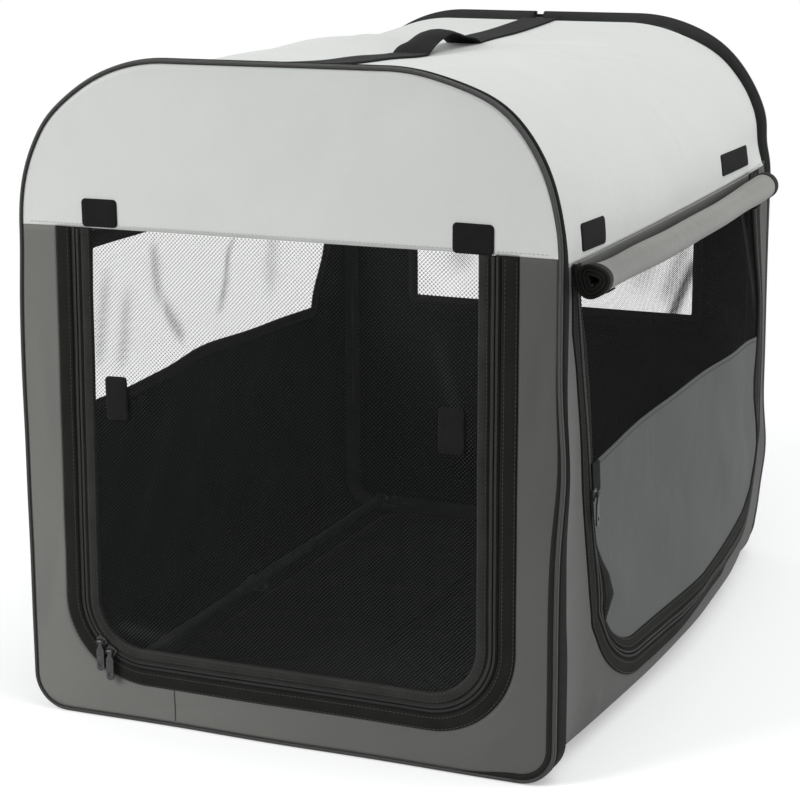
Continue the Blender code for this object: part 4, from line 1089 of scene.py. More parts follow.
# A cord in bias tape at the outermost edge, the flat of the tape inside it and its band round on the shell
def endPiping(side, place, body, lineAt=hoopLine):
    closed = lineAt is hoopLine
    cord = bandPiece(f"{side}PipingCord", lineAt, circleProfile(
        endFacts["pipeInset"], endFacts["pipeDepth"], endFacts["pipeRadius"]), place, body, closed)
    dress(cord, pipingTape, "webbing", f"{side}_piping")
    flat = bandPiece(f"{side}PipingFlange", flangeLine, [
        (0.0, 0.0016), (0.10, 0.0007), (0.85, 0.0007), (1.0, 0.0013), (1.0, 0.0022), (0.0, 0.0022)],
        place, body, True)
    dress(flat, bindingTape, "webbing")
    width = endFacts["sideBinding"][side]
    around = bandPiece(f"{side}EdgeBinding", lineAt, [
        (0.0022, 0.0042), (0.0010, 0.0048), (0.0002, 0.0062), (-0.0004, 0.0076), (0.0002, 0.0090),
        (0.0001, 0.0106), (0.0004, width - 0.0012), (0.0014, width), (0.0030, width), (0.0040, 0.0045)],
        frontBandPlace if side == "front" else rearSleevePlace, body, closed)
    dress(around, edgeTape if side == "front" else rearTape, "webbing")


frontOut, rearOut = toward(0, -1, 0), toward(0, 1, 0)
topPanel("frontTopPanel", frontPlace, "front_frame", frontOut, "front_panel_upper")
topPanel("rearTopPanel", rearPlace, "rear_frame", rearOut, "rear_panel_upper")
endPiping("front", frontPlace, "front_frame")
endPiping("rear", rearPlace, "rear_frame", openedHoop)

outerU = uLine(crate["halfWidth"] - endFacts["panelInset"], endFacts["panelInset"],
               crate["bottomRadius"] - endFacts["panelInset"], crate["frontSeam"])
doorU = openingLine(frontOpening, -0.0010, crate["frontSeam"])
frontLower = sheetPiece("frontLowerPanel", between(outerU, doorU, 14), frontPlace, "front_frame", frontOut)
finishCloth(frontLower, frontDarkCloth, "dark_fabric", "front_panel_lower")

rearWindow = {"box": (-0.186, 0.194, 0.279, 0.457), "radius": 0.012, "binding": 0.010}
leftWindow = {"box": (-0.262, 0.340, 0.268, 0.457), "radius": 0.012, "binding": 0.010}
low = endFacts["panelInset"]
endRing = boxLine(-crate["halfWidth"] + low, crate["halfWidth"] - low, low, crate["frontSeam"],
                  (crate["bottomRadius"] - low, 0.001, 0.001, crate["bottomRadius"] - low))
rearHole = boxLine(*rearWindow["box"], [rearWindow["radius"]] * 4)
rearLower = sheetPiece("rearLowerPanel", between(endRing, rearHole, 26), rearPlace, "rear_frame", rearOut, ring=True)
finishCloth(rearLower, darkCloth, "dark_fabric", "rear_panel_lower")


# A net in its window, bulging a little and creased, and the folded tape that binds its edge.
def windowPieces(name, window, place, body, out, nodes, creases, slack, seed):
    lowA, highA, lowB, highB = window["box"]
    radius, width = window["radius"], window["binding"]

    def frameLine(inset):
        corner = max(radius - inset, 0.002)
        return boxLine(lowA + inset, highA - inset, lowB + inset, highB - inset, [corner] * 4, (70, 26, 6))

    binding = bandPiece(f"{name}Binding", frameLine, [
        (-0.0030, 0.0020), (-0.0030, 0.0010), (-0.0018, 0.0004), (width - 0.002, 0.0006), (width, 0.0014),
        (width, 0.0034), (-0.0020, 0.0034)], place, body, True)
    dress(binding, bindingTape, "webbing", nodes[1])
    runs = [seamRun(frameLine(inset), place, 0.0003) for inset in (-0.0004, width - 0.0022)]
    stitches = stitchPiece(f"{name}Stitches", body, runs, threadDark)
    a = np.linspace(lowA + width - 0.002, highA - width + 0.002, 140)[:, None]
    b = np.linspace(lowB + width - 0.002, highB - width + 0.002, 50)[None, :]
    a, b = np.broadcast_arrays(a, b)
    loose = hump((a - lowA) / (highA - lowA)) * hump((b - lowB) / (highB - lowB))
    relief = folds(a, b, [(*line[:3], line[3] * slack) for line in creases])
    depth = 0.0020 - loose * (ripple(a, b, seed, 0.07, 0.0016) + relief) + 0.0020 * loose
    net = gridPiece(f"{name}Net", place(a, b, depth), stacked(a, b), body)
    facing(net, out)
    addCrease(net, a, b, creases)
    dress(net, windowNet, "net", nodes[0])
    return binding, stitches, net


# Gathers in a window net: from, to, half width, and how much they close it
rearCreases = [((0.150, 0.262), (0.192, 0.372), 0.006, 0.85), ((0.145, 0.290), (0.182, 0.400), 0.010, 0.35),
               ((0.110, 0.300), (0.150, 0.430), 0.018, 0.22),
               ((0.02, 0.30), (0.08, 0.44), 0.016, 0.22), ((-0.12, 0.31), (-0.10, 0.44), 0.016, 0.25)]
leftCreases = [
    ((-0.130, 0.440), (-0.095, 0.350), 0.009, 0.30), ((-0.100, 0.370), (-0.020, 0.290), 0.008, 0.34),
    ((0.085, 0.420), (0.060, 0.300), 0.007, 0.34), ((-0.220, 0.430), (-0.240, 0.300), 0.012, 0.20),
    ((0.180, 0.440), (0.200, 0.300), 0.016, 0.16), ((-0.170, 0.400), (-0.190, 0.290), 0.012, 0.20)]
windowPieces("rearWindow", rearWindow, rearPlace, "rear_frame", rearOut,
             ("rear_window_mesh", "rear_window_binding"), rearCreases, 0.003, 41)
print("ends built")


# Zips and bound edges of the two doors

zipFacts = {
    "inner": 0.0364,
    "pitch": 0.0011,
    "tooth": (0.0014, 0.00036, 0.0004),
    "doorGap": 0.0006,
    "fixedTeeth": (0.0186, 0.0004),
    "doorTeeth": (0.0223, 0.0003),
    "fixedSeams": ((0.0004, 0.0004), (0.0115, 0.0005)),
    "doorSeams": ((0.0276, -0.0002), (0.0348, -0.0003)),
}
fixedProfile = [
    (-0.0010, 0.0020), (-0.0010, 0.0011), (0.0002, 0.0005), (0.0060, 0.0008), (0.0120, 0.0006), (0.0138, 0.0007),
    (0.0145, 0.0015), (0.0151, 0.0024), (0.0157, 0.0015), (0.0168, 0.0004), (0.0184, 0.0003), (0.0198, 0.0011),
    (0.0203, 0.0022), (0.0203, 0.0034), (-0.0010, 0.0034)]
doorProfile = [
    (0.0207, 0.0034), (0.0207, 0.0022), (0.0212, 0.0011), (0.0222, 0.0003), (0.0236, 0.0004), (0.0246, 0.0014),
    (0.0253, 0.0024), (0.0260, 0.0013), (0.0268, 0.0001), (0.0295, -0.0006), (0.0335, -0.0005), (0.0353, 0.0001),
    (0.0364, 0.0012), (0.0366, 0.0036)]
sideCounts = (70, 30, 110)


def zipBand(name, opening, profile, place, body, top, node, counts, material):
    def lineAt(inset):
        return openingLine(opening, inset, top, counts)
    piece = bandPiece(name, lineAt, profile, place, body, False)
    return dress(piece, material, "webbing", node)


# A coil along the zip's middle: one low rounded bar for each tooth.
def zipTeeth(name, opening, place, body, top, inset, depth, counts):
    points = place(*openingLine(opening, inset, top, counts).T, depth)
    across = place(*openingLine(opening, inset + 0.002, top, counts).T, depth) - points
    run = pathLength(points)
    at = np.arange(0.001, run[-1] - 0.001, zipFacts["pitch"])
    middle, side = atLengths(at, run, points), unit(atLengths(at, run, across))
    ahead = unit(np.gradient(middle, axis=0))
    up = np.cross(ahead, side)
    # Each tooth is a flat eight-point bar across the zip
    corner = np.array([(-1, -1, -1), (1, -1, -1), (1, 1, -1), (-1, 1, -1), (-0.8, -0.7, 1), (0.8, -0.7, 1),
                       (0.8, 0.7, 1), (-0.8, 0.7, 1)], float) * np.array(zipFacts["tooth"])
    blocks = (middle[:, None] + corner[None, :, 0:1] * side[:, None] + corner[None, :, 1:2] * ahead[:, None]
              + corner[None, :, 2:3] * up[:, None])
    quads = np.array([(0, 3, 2, 1), (4, 5, 6, 7), (0, 1, 5, 4), (1, 2, 6, 5), (2, 3, 7, 6), (3, 0, 4, 7)])
    faces = (quads[None] + (np.arange(len(at)) * 8)[:, None, None]).reshape(-1, 4)
    mesh = bpy.data.meshes.new(name)
    mesh.from_pydata(blocks.reshape(-1, 3).tolist(), [], faces.tolist())
    return dress(outwardSolid(newPiece(name, mesh, body)), zipCoil, "webbing")


# Both halves of a door's zip: tape, teeth and stitches on the wall, then bound edge, teeth and stitches.
def doorZip(side, opening, place, counts, seamCounts, top, stitchTop, edgeMaterial):
    fixed, door, doorTop = "front_frame", f"{side}_door", top - zipFacts["doorGap"]

    def seams(rows, high):
        return [seamRun(openingLine(opening, inset, high, seamCounts), place, depth) for inset, depth in rows]

    wallHalf = [
        zipBand(f"{side}ZipTape", opening, fixedProfile, place, fixed, top, f"{side}_zip_tape", counts, zipTape),
        zipTeeth(f"{side}ZipTeethFixed", opening, place, fixed, top, *zipFacts["fixedTeeth"], counts),
        stitchPiece(f"{side}ZipStitches", fixed, seams(zipFacts["fixedSeams"], top), threadDark)]
    doorHalf = [
        zipBand(f"{side}DoorEdge", opening, doorProfile, place, door, doorTop, f"{side}_door_binding", counts,
                edgeMaterial),
        zipTeeth(f"{side}ZipTeethDoor", opening, place, door, doorTop, *zipFacts["doorTeeth"], counts),
        stitchPiece(f"{side}DoorStitches", door, seams(zipFacts["doorSeams"], stitchTop), threadDark)]
    return wallHalf, doorHalf


# Heights and half widths of a door's inside, row by row, with the round corners followed.
def doorWidth(opening, inset, rows, top, low=None):
    half, radius = opening["half"] - inset, opening["radius"] - inset
    floor = opening["low"] + inset
    if low is not None:
        b = np.linspace(low, top, rows)
        drop = np.clip(floor + radius - b, 0, radius)
        return b, half - radius + np.sqrt(np.maximum(radius ** 2 - drop ** 2, 0))
    turn = np.linspace(0, math.pi / 2, rows // 2)
    b = np.concatenate([floor + radius * (1 - np.cos(turn)), np.linspace(floor + radius, top, rows // 2 + 1)[1:]])
    wide = np.concatenate([half - radius + radius * np.sin(turn), np.full(rows // 2, half)])
    return b, wide


def doorField(opening, inset, top, rows=80, columns=90, low=None):
    b, wide = doorWidth(opening, inset, rows, top, low)
    a = np.linspace(-1, 1, columns)[None, :] * wide[:, None]
    return a, np.broadcast_to(b[:, None], a.shape)


seam = crate["frontSeam"]
doorZip("front", frontOpening, frontPlace, (60, 26, 60), (60, 22, 60), seam, seam - 0.002, doorTape)
netA, netB = doorField(frontOpening, zipFacts["inner"] - 0.0015, seam - zipFacts["doorGap"])
loose = hump((netA / 0.197 + 1) / 2) * hump((netB - 0.07) / (seam - 0.07))
netDepth = 0.0022 + loose * (0.0030 + ripple(netA, netB, 53, 0.10, 0.0012))
frontDoorNet = gridPiece("frontDoorNet", frontPlace(netA, netB, netDepth), stacked(netA, netB), "front_door")
facing(frontDoorNet, frontOut)
addCrease(frontDoorNet, netA, netB, [
    ((-0.19, 0.10), (-0.10, 0.085), 0.006, 0.15), ((0.15, 0.43), (0.19, 0.30), 0.006, 0.12)])
dress(frontDoorNet, frontNet, "net", "front_door_mesh")
print("front door built")


# Hook-and-loop patches and webbing tabs

# A rounded patch with a raised, slightly uneven face, turned a little in its plane.
def patchPiece(name, box, radius, place, body, depth, thick, material, turn=0.0, pillow=0.0003):
    lowA, highA, lowB, highB = box
    middle = np.array([(lowA + highA) / 2, (lowB + highB) / 2])
    line = boxLine(lowA, highA, lowB, highB, [radius] * 4, (10, 8, 6))
    ab = np.array([middle + (line - middle) * share for share in (1.0, 0.97, 0.90, 0.6, 0.25, 0.02)])
    a, b = np.moveaxis(ab - middle, -1, 0)
    cos, sin = math.cos(math.radians(turn)), math.sin(math.radians(turn))
    ab = middle + stacked(a * cos - b * sin, a * sin + b * cos)
    rise = np.array([0.45, 0.85, 1.0, 1.0, 1.0, 1.0])[:, None]
    lift = thick * rise + pillow * np.sin(ab[..., 0] * 300) * np.sin(ab[..., 1] * 260) * (rise == 1.0)
    top = place(ab[..., 0], ab[..., 1], depth - lift)
    under = place(*ab[0].T, depth + 0.0006)
    points = np.concatenate([under[None], top])
    uv = np.concatenate([ab[:1], ab])
    piece = gridPiece(name, points, uv, body, ringColumns=True)
    return dress(capEnds(piece, points, True), material, "webbing")


patchRadius = 0.0040
# Each lies in a box of a and b, turned by some degrees
frontPatches = {
    "frontPatchLeft": ((-0.2010, -0.1635, 0.4912, 0.5178), 0.4),
    "frontPatchRight": ((0.1725, 0.2112, 0.4893, 0.5165), -0.5),
}
for name, (box, turn) in frontPatches.items():
    patchPiece(name, box, patchRadius, frontPlace, "front_frame", 0.0020, 0.0016, hookTape, turn)
patchPiece("frontStripSeam", (-0.1180, -0.1169, 0.0062, 0.0385), 0.0004, frontPlace, "front_frame", 0.0020, 0.0004,
           threadDark, pillow=0.0)
frontTabs = {
    "frontTabLeft": ((-0.1812, -0.1582, 0.3060, 0.3485), 1.5),
    "frontTabRight": ((0.1600, 0.1850, 0.3065, 0.3490), 0.0),
}
for name, (box, turn) in frontTabs.items():
    patchPiece(name, box, patchRadius, frontPlace, "front_door", 0.0012, 0.0012, hookTape, turn)


# Roof, its patches, and the carrying strap

roofY = np.linspace(crate["wallFront"], crate["wallRear"], 150)[:, None]
roofT = np.linspace(0.0, roofLength, 150)[None, :]
roof = sheetPiece("roofPanel", stacked(roofY, roofT), roofPlace, "front_frame", awayFrom((0, 0, 0.3)))
finishCloth(roof, paleCloth, "pale_fabric", "roof_panel")
roofPatches = {
    "roofPatchFront": ((-0.3285, -0.2605, 0.0076, 0.0316), -1.2),
    "roofPatchRear": ((0.1660, 0.2880, 0.0122, 0.0340), -1.2),
}
roofPieces = [roof]
for name, (box, turn) in roofPatches.items():
    roofPieces.append(
        patchPiece(name, box, patchRadius, roofPlace, "front_frame", 0.0020, 0.0014, hookTape, turn))

strapFacts = {
    "half": 0.0205, "thick": 0.0020, "loop": (-0.0516, 0.1000), "rise": 0.0200, "narrow": 0.17, "cup": 0.0035,
    "seat": 0.0004, "left": 0.0045, "back": 0.0070, "selvedge": 0.0006, "seam": 0.0025, "box": 0.034, "foot": 0.004}


# Height of the strap's underside: on the roof's ridge, and an arch over the hand gap.
def strapUnder(y):
    start, stop = strapFacts["loop"]
    ridge = roofPlace(y, roofLength / 2, crate["fabricOut"])[:, 2]
    share = np.clip((y - start) / (stop - start), 0.0, 1.0)
    return ridge + strapFacts["seat"] + strapFacts["rise"] * (1 - np.abs(2 * share - 1) ** 1.55) ** 0.9


# The strap lies a little to the left in front and comes back towards the rear hoop
def strapMiddle(y):
    return -strapFacts["left"] + strapFacts["back"] * smoothStep((y - 0.10) / 0.22)


# Webbing from hoop to hoop: a section with rounded selvedges, carried along the ridge.
def carryStrap():
    start, stop = strapFacts["loop"]
    y = np.concatenate([np.linspace(crate["wallFront"], start, 60)[:-1], np.linspace(start, stop, 80),
                        np.linspace(stop, crate["wallRear"], 50)[1:]])
    under = strapUnder(y)
    slope = np.gradient(under, y)
    length = np.hypot(1, slope)
    share = np.clip((y - start) / (stop - start), 0.0, 1.0)
    inLoop = smoothStep(hump(share))
    half, thick = strapFacts["half"], strapFacts["thick"]
    shoulder = half - strapFacts["selvedge"]
    section = [(-half, 0.3), (-shoulder, 0.0), (-half * 0.5, 0.0), (0, 0.0), (half * 0.5, 0.0), (shoulder, 0.0),
               (half, 0.3), (half, 0.7), (shoulder, 1.0), (half * 0.5, 1.0), (0, 1.0), (-half * 0.5, 1.0),
               (-shoulder, 1.0), (-half, 0.7)]
    rails = []
    for x, level in section:
        # The loop's webbing cups a little across its width
        cup = -strapFacts["cup"] * inLoop * (x / half) ** 2
        wide = strapMiddle(y) + x * (1 - strapFacts["narrow"] * inLoop)
        lift = thick * level
        rails.append(stacked(wide, y - lift * slope / length, under + lift / length + cup))
    points = np.array(rails)
    u = pathLength(np.array([(x, level * thick) for x, level in section]))
    v = pathLength(points.mean(axis=0))
    piece = gridPiece("carryStrap", points, stacked(u[:, None], v), "front_frame", ringRows=True)
    return dress(capEnds(piece, points, False), webbing, "webbing", "carry_strap")


strap = carryStrap()


# Two long rows down the strap, and a box with a cross at each foot of the loop.
def strapStitches():
    start, stop = strapFacts["loop"]
    runs = []

    def run(points):
        points = np.array(points, float)
        dense = np.concatenate([[points[0]]] + [straight(p, q, 30).tolist() + [q] for p, q in zip(points, points[1:])])
        x, y = dense.T
        line = stacked(x + strapMiddle(y), y, strapUnder(y) + strapFacts["thick"] + 0.0002)
        runs.append((line, np.tile([0.0, 0.0, 1.0], (len(line), 1))))

    side, box, foot = strapFacts["half"] - strapFacts["seam"], strapFacts["box"], strapFacts["foot"]
    for x in (-side, side):
        run([(x, crate["wallFront"] + foot), (x, start - foot)])
        run([(x, stop + foot), (x, crate["wallRear"] - foot)])
    for low, high in ((start - box, start - foot), (stop + foot, stop + box)):
        run([(-side, low), (side, low), (side, high), (-side, high), (-side, low)])
        run([(-side, low), (side, high)])
        run([(side, low), (-side, high)])
    return stitchPiece("strapStitches", "front_frame", runs, threadDark, stitch=0.0034)


roofPieces += [strap, strapStitches()]
seamY = np.linspace(crate["wallFront"], crate["wallRear"], 120)
edgeA = crate["halfWidth"] - 0.012
topSeam = stacked(np.linspace(-edgeA, edgeA, 90), crate["frontSeam"] + 0.0032)
seamStitches = {
    "right": ("front_frame", stacked(seamY, 0.0035), roofPlace),
    "left": ("front_frame", stacked(seamY, roofLength - 0.0035), roofPlace),
    "front": ("front_frame", topSeam, frontPlace),
    "rear": ("rear_frame", topSeam, rearPlace),
}
for side, (body, line, place) in seamStitches.items():
    stitches = stitchPiece(f"{side}SeamStitches", body, [seamRun(line, place, 0.0017)], threadPale)
    if place is roofPlace:
        roofPieces.append(stitches)
print("roof built")


# Walls and floor

wallLow = crate["bottomRadius"] - (crate["bottomRadius"] - crate["shellInset"]) * math.pi / 2
leftHole = boxLine(*leftWindow["box"], [leftWindow["radius"]] * 4, (90, 30, 6))
# The left wall and the floor are tucked under the rear binding
tuckedRear = crate["wallRear"] + crate["rearTuck"]
leftOuter = boxLine(crate["wallFront"], tuckedRear, wallLow, crate["sideSeam"], [0.001] * 4, (90, 30, 6))
leftOut, rightOut = toward(-1, 0, 0), toward(1, 0, 0)
leftWall = sheetPiece("leftWall", between(leftOuter, leftHole, 34), leftPlace, "front_frame", leftOut, ring=True)
finishCloth(leftWall, darkCloth, "dark_fabric", "left_wall")
leftPieces = windowPieces("leftWindow", leftWindow, leftPlace, "front_frame", leftOut,
                          ("left_window_mesh", "left_window_binding"), leftCreases, 0.004, 37)

# The right wall's cloth reaches back over the rear binding; its outline runs in step with the opening's U
wallBack = crate["wallRear"] + crate["rightTuck"]
wallCorners = [(crate["wallFront"], crate["sideSeam"]), (crate["wallFront"], wallLow + 0.020),
               (crate["wallFront"] + 0.030, wallLow), (wallBack - 0.030, wallLow), (wallBack, wallLow + 0.020),
               (wallBack, crate["sideSeam"])]
side, bend, floor = sideCounts
wallU = np.concatenate([wallCorners[:1]] + [
    straight(start, stop, count)
    for start, stop, count in zip(wallCorners, wallCorners[1:], (side, bend, floor, bend, side))] + [wallCorners[-1:]])
sideU = openingLine(sideOpening, -0.0010, crate["sideSeam"], sideCounts)
rightWall = sheetPiece("rightWall", between(wallU, sideU, 22), rightPlace, "front_frame", rightOut)
finishCloth(rightWall, wallCloth, "dark_fabric", "right_wall")


# The floor's cloth: flat, and as wide as the walls' feet at each point along it.
def floorSheet():
    y = np.linspace(crate["wallFront"], tuckedRear, 60)[:, None]
    foot = crate["halfWidth"] - crate["bottomRadius"] + 0.002 + wallBulge(y, np.zeros_like(y))
    across = np.linspace(-1, 1, 40)[None, :]
    x = across * foot + np.maximum(across, 0) * footFlare(y, np.zeros_like(y))
    piece = gridPiece("floorPanel", stacked(x, y, 0.0014), stacked(x, y), "front_frame")
    facing(piece, toward(0, 0, 1))
    return thicken(dress(piece, innerCloth, "dark_fabric", "floor_panel", inner=darkCloth), crate["cloth"])


floorPanel = floorSheet()


# Rings: how far inside the mat's outline, and at what height, from its underside round its edge to its top
matFacts = {
    "halfX": 0.200,
    "halfY": 0.340,
    "corner": 0.035,
    "rings": ((0.010, 0.0021), (0.004, 0.0025), (0.0, 0.0055), (0.0006, 0.0090), (0.004, 0.0118), (0.010, 0.0134),
              (0.020, 0.0142), (0.040, 0.0148), (0.070, 0.0150), (0.100, 0.0150), (0.130, 0.0150), (0.165, 0.0150),
              (0.192, 0.0150)),
    "top": 0.010,
    "channels": (-0.20, -0.066, 0.066, 0.20),
    "channelWidth": 0.006,
    "dip": 0.0045,
}


# A thin quilted pad: a crowned top with drawn-in edges and sewn channels across it.
def matPad():
    halfX, halfY = matFacts["halfX"], matFacts["halfY"]
    rails = []
    for inset, height in matFacts["rings"]:
        corners = [max(matFacts["corner"] - inset, 0.004)] * 4
        line = boxLine(-halfX + inset, halfX - inset, -halfY + inset, halfY - inset, corners, (50, 90, 8))
        channel = np.minimum.reduce([np.abs(line[:, 1] - y) for y in matFacts["channels"]])
        onTop = height > matFacts["top"]
        dip = matFacts["dip"] * bell(channel / matFacts["channelWidth"]) * onTop
        puff = ripple(line[:, 0], line[:, 1], 5, 0.08, 0.0006) * onTop
        rails.append(np.column_stack([line, height - dip + puff]))
    points = np.array(rails)
    piece = gridPiece("floorMat", points, points[..., :2], "front_frame", ringColumns=True)
    dress(capEnds(piece, points, True), matCloth, "mat", "floor_mat")
    return piece


mat = matPad()
print("walls built")


# The right side door: net above, cloth below, a bound edge with its half of the zip

sideTop = crate["sideSeam"] - zipFacts["doorGap"]
sidePieces, doorPieces = doorZip(
    "side", sideOpening, rightPlace, sideCounts, sideCounts, crate["sideSeam"], sideTop - 0.002, zipTape)

panelTop = 0.287
netA, netB = doorField(sideOpening, zipFacts["inner"] - 0.0015, sideTop, rows=50, columns=150, low=panelTop - 0.006)
loose = hump((netA / 0.314 + 1) / 2) * hump((netB - 0.28) / 0.2)
sideNetPoints = rightPlace(netA, netB, 0.0026 + loose * 0.001)
sideDoorNet = gridPiece("sideDoorNet", sideNetPoints, stacked(netA, netB), "side_door")
facing(sideDoorNet, rightOut)
addCrease(sideDoorNet, netA, netB, [((0.25, 0.47), (0.30, 0.30), 0.008, 0.3)])
dress(sideDoorNet, sideNet, "net", "side_door_mesh")
doorPieces.append(sideDoorNet)

panelA, panelB = doorField(sideOpening, zipFacts["inner"] - 0.0020, panelTop, rows=110, columns=190)


# The hem bows up in the middle, because the net above draws it up
def bowed(a, b):
    bow = 0.021 * smoothStep((b - 0.17) / 0.117) * (1 - ((a - 0.02) / 0.33) ** 2)
    return b + bow - 0.004 * smoothStep((b - 0.2) / 0.08)


sideDoorPanel = gridPiece("sideDoorPanel", rightPlace(panelA, bowed(panelA, panelB), 0.0016),
                          stacked(panelA, panelB), "side_door")
facing(sideDoorPanel, rightOut)
finishCloth(sideDoorPanel, darkCloth, "dark_fabric", "side_door_panel")
doorPieces.append(sideDoorPanel)
hemA = np.linspace(-0.308, 0.308, 120)
hemLine = stacked(hemA, bowed(hemA, panelTop) - 0.004)
doorPieces.append(stitchPiece("sideHemStitches", "side_door", [seamRun(hemLine, rightPlace, 0.0013)], threadDark))
doorPieces.append(patchPiece("sideDoorTab", (-0.3265, -0.2990, 0.2560, 0.2870), 0.0030, rightPlace, "side_door",
                             -0.0008, 0.0010, hookTape))
print("side door built")


# The rolled-up cover over the side door

rollFacts = {
    "centre": (0.2915, 0.4685),
    "radius": 0.0166,
    "turns": 3.25,
    "pitch": 0.0036,
    "cloth": 0.0016,
    "ends": (-0.3575, 0.2880),
    "binding": 0.0130,
    "bindingOut": 0.0007,
    "bindingThick": 0.0028,
    "sag": 0.0056,
    "sewnAt": (0.0022, 0.0004),
    "strapWide": 0.020,
    "strapThick": 0.0014,
    "strapTop": ((0.2716, 0.2722), (0.4700, 0.4660)),
}


# The roll's thickness along it, as a share: bound ends, a waist behind the front one, full at the rear
def rollShare(share):
    return (0.90 + 0.10 * bell(share / 0.035) - 0.07 * bell((share - 0.12) / 0.08)
            + 0.07 * smoothStep((share - 0.80) / 0.12))


# How far the roll hangs down between its ends.
def rollHang(y):
    return rollFacts["sag"] * np.maximum(1 - ((y + 0.03) / 0.35) ** 2, 0.0)


# The cover's outer face: a flap down from the seam, then a spiral under, out and over.
def rollSurface(y, turns, extra):
    steps = 150
    angle = 180 + np.linspace(0, turns * 360, steps)
    start, stop = rollFacts["ends"]
    share = (y - start) / (stop - start)
    shrink = rollShare(share)
    cx, cz = rollFacts["centre"]
    hang = rollHang(y[:, None])
    radius = rollFacts["radius"] - rollFacts["pitch"] * (angle - 180) / 360
    turn = np.radians(angle)[None]
    ragged = 0.0011 * np.exp(-(y[:, None] - start) / 0.018)
    wobble = (0.0003 * np.sin(2 * turn + 9 * y[:, None]) + 0.0003 * np.sin(31 * y[:, None] + turn)
              + ragged * np.sin(3 * turn + 1.0))
    size = radius[None] * shrink[:, None] + wobble + extra
    x = cx + size * np.cos(turn)
    z = cz + size * np.sin(turn) - hang
    # The flap is sewn on the roof's face, runs down it past the seam, and bows out to the roll
    sewn = [roofPlace(y, up, 0.0002)[:, [0, 2]] for up in rollFacts["sewnAt"]]
    flap = np.linspace(0, 1, 14)[:-1][None]
    bow = -np.sin(math.pi * flap) * 0.0006
    flapX = sewn[1][:, :1] * (1 - flap) + x[:, :1] * flap + bow
    flapZ = sewn[1][:, 1:] * (1 - flap) + z[:, :1] * flap
    return (np.concatenate([sewn[0][:, :1], flapX, x], axis=1),
            np.concatenate([sewn[0][:, 1:], flapZ, z], axis=1))


def coverPiece(name, low, high, rows, material, extra, thickness, node=None, inner=None):
    y = np.linspace(low, high, rows)
    x, z = rollSurface(y, rollFacts["turns"], extra)
    points = stacked(x, y[:, None], z)
    v = pathLength(points[rows // 2])
    piece = gridPiece(name, points, stacked(y[:, None], v), "side_door")
    facing(piece, outFromRoll)
    dress(piece, material, "cover_fabric" if node else "webbing", *([node] if node else []), inner=inner)
    return thicken(piece, thickness, inner=bool(inner))


outFromRoll = awayFrom((rollFacts["centre"][0], 0, rollFacts["centre"][1]), axes=(1, 0, 1))
rollStart, rollEnd = rollFacts["ends"]
cover = coverPiece("sideCover", rollStart, rollEnd, 120, coverCloth, 0.0, rollFacts["cloth"], "side_cover", coverInner)
bindings = {"Front": (rollStart - 0.0010, rollStart + rollFacts["binding"]),
            "Rear": (rollEnd - rollFacts["binding"], rollEnd + 0.0010)}
doorPieces.append(cover)
for end, (low, high) in bindings.items():
    doorPieces.append(coverPiece(f"sideCover{end}Binding", low, high, 5, bindingTape, rollFacts["bindingOut"],
                                 rollFacts["bindingThick"]))


# Webbing from the seam behind the flap, down and under the roll.
def coverStrap(name, middle, node):
    wide, (topX, topZ) = rollFacts["strapWide"], rollFacts["strapTop"]
    turn = np.radians(np.linspace(192, 300, 26))
    along = (middle - rollStart) / (rollEnd - rollStart)
    radius = rollFacts["radius"] * rollShare(along) + 0.0012
    cx, cz = rollFacts["centre"][0], rollFacts["centre"][1] - rollHang(middle)
    x = np.concatenate([topX, cx + radius * np.cos(turn)])
    z = np.concatenate([topZ, cz + radius * np.sin(turn)])
    y = np.linspace(middle - wide / 2, middle + wide / 2, 7)[:, None]
    points = stacked(x, y, z)
    piece = gridPiece(name, points, stacked(y, pathLength(points[0])), "side_door")
    facing(piece, outFromRoll)
    dress(piece, webbing, "webbing", node)
    return thicken(piece, rollFacts["strapThick"], inner=False)


doorPieces += [coverStrap("coverStrapFront", -0.322, "side_cover_front_strap"),
               coverStrap("coverStrapRear", 0.226, "side_cover_rear_strap")]
print("cover built")


# Each hoop's tube runs in a sleeve of the black tape
sleeveFacts = {"outer": {"front": 0.0022, "rear": 0.0003}, "inner": 0.0186, "depths": (0.0032, 0.0139)}


def sleeveProfile(side):
    low, high = sleeveFacts["outer"][side], sleeveFacts["inner"]
    near, far = sleeveFacts["depths"]
    turn = wholeTurn(28)
    cos, sin = np.cos(turn), np.sin(turn)
    inset = (low + high) / 2 + (high - low) / 2 * np.sign(cos) * np.abs(cos) ** 0.75
    depth = (near + far) / 2 + (far - near) / 2 * np.sign(sin) * np.abs(sin) ** 0.75
    return stacked(inset, depth)


frontSleeve = bandPiece("frontHoopSleeve", hoopLine, sleeveProfile("front"), frontPlace, "front_frame", True)
dress(frontSleeve, edgeTape, "webbing")
rearSleeve = bandPiece("rearHoopSleeve", openedHoop, sleeveProfile("rear"), rearSleevePlace, "rear_frame", False)
dress(rearSleeve, rearTape, "webbing")


# Metal: finer tubes over the solids' tubes, and finishes on the solids that stay

hoopFacts = {"inset": 0.0120, "depth": 0.0085}


def hoopTube(name, place, body):
    profile = circleProfile(hoopFacts["inset"], hoopFacts["depth"], barFacts["radius"], barFacts["sides"])
    return dress(bandPiece(name, hoopLine, profile, place, body, True), tubeMetal, "tube")


hoopTube("frontHoopTube", lambda a, b, d: stacked(a, -crate["halfDepth"] + d, b), "front_frame")
hoopTube("rearHoopTube", lambda a, b, d: stacked(a, crate["halfDepth"] - d, b), "rear_frame")


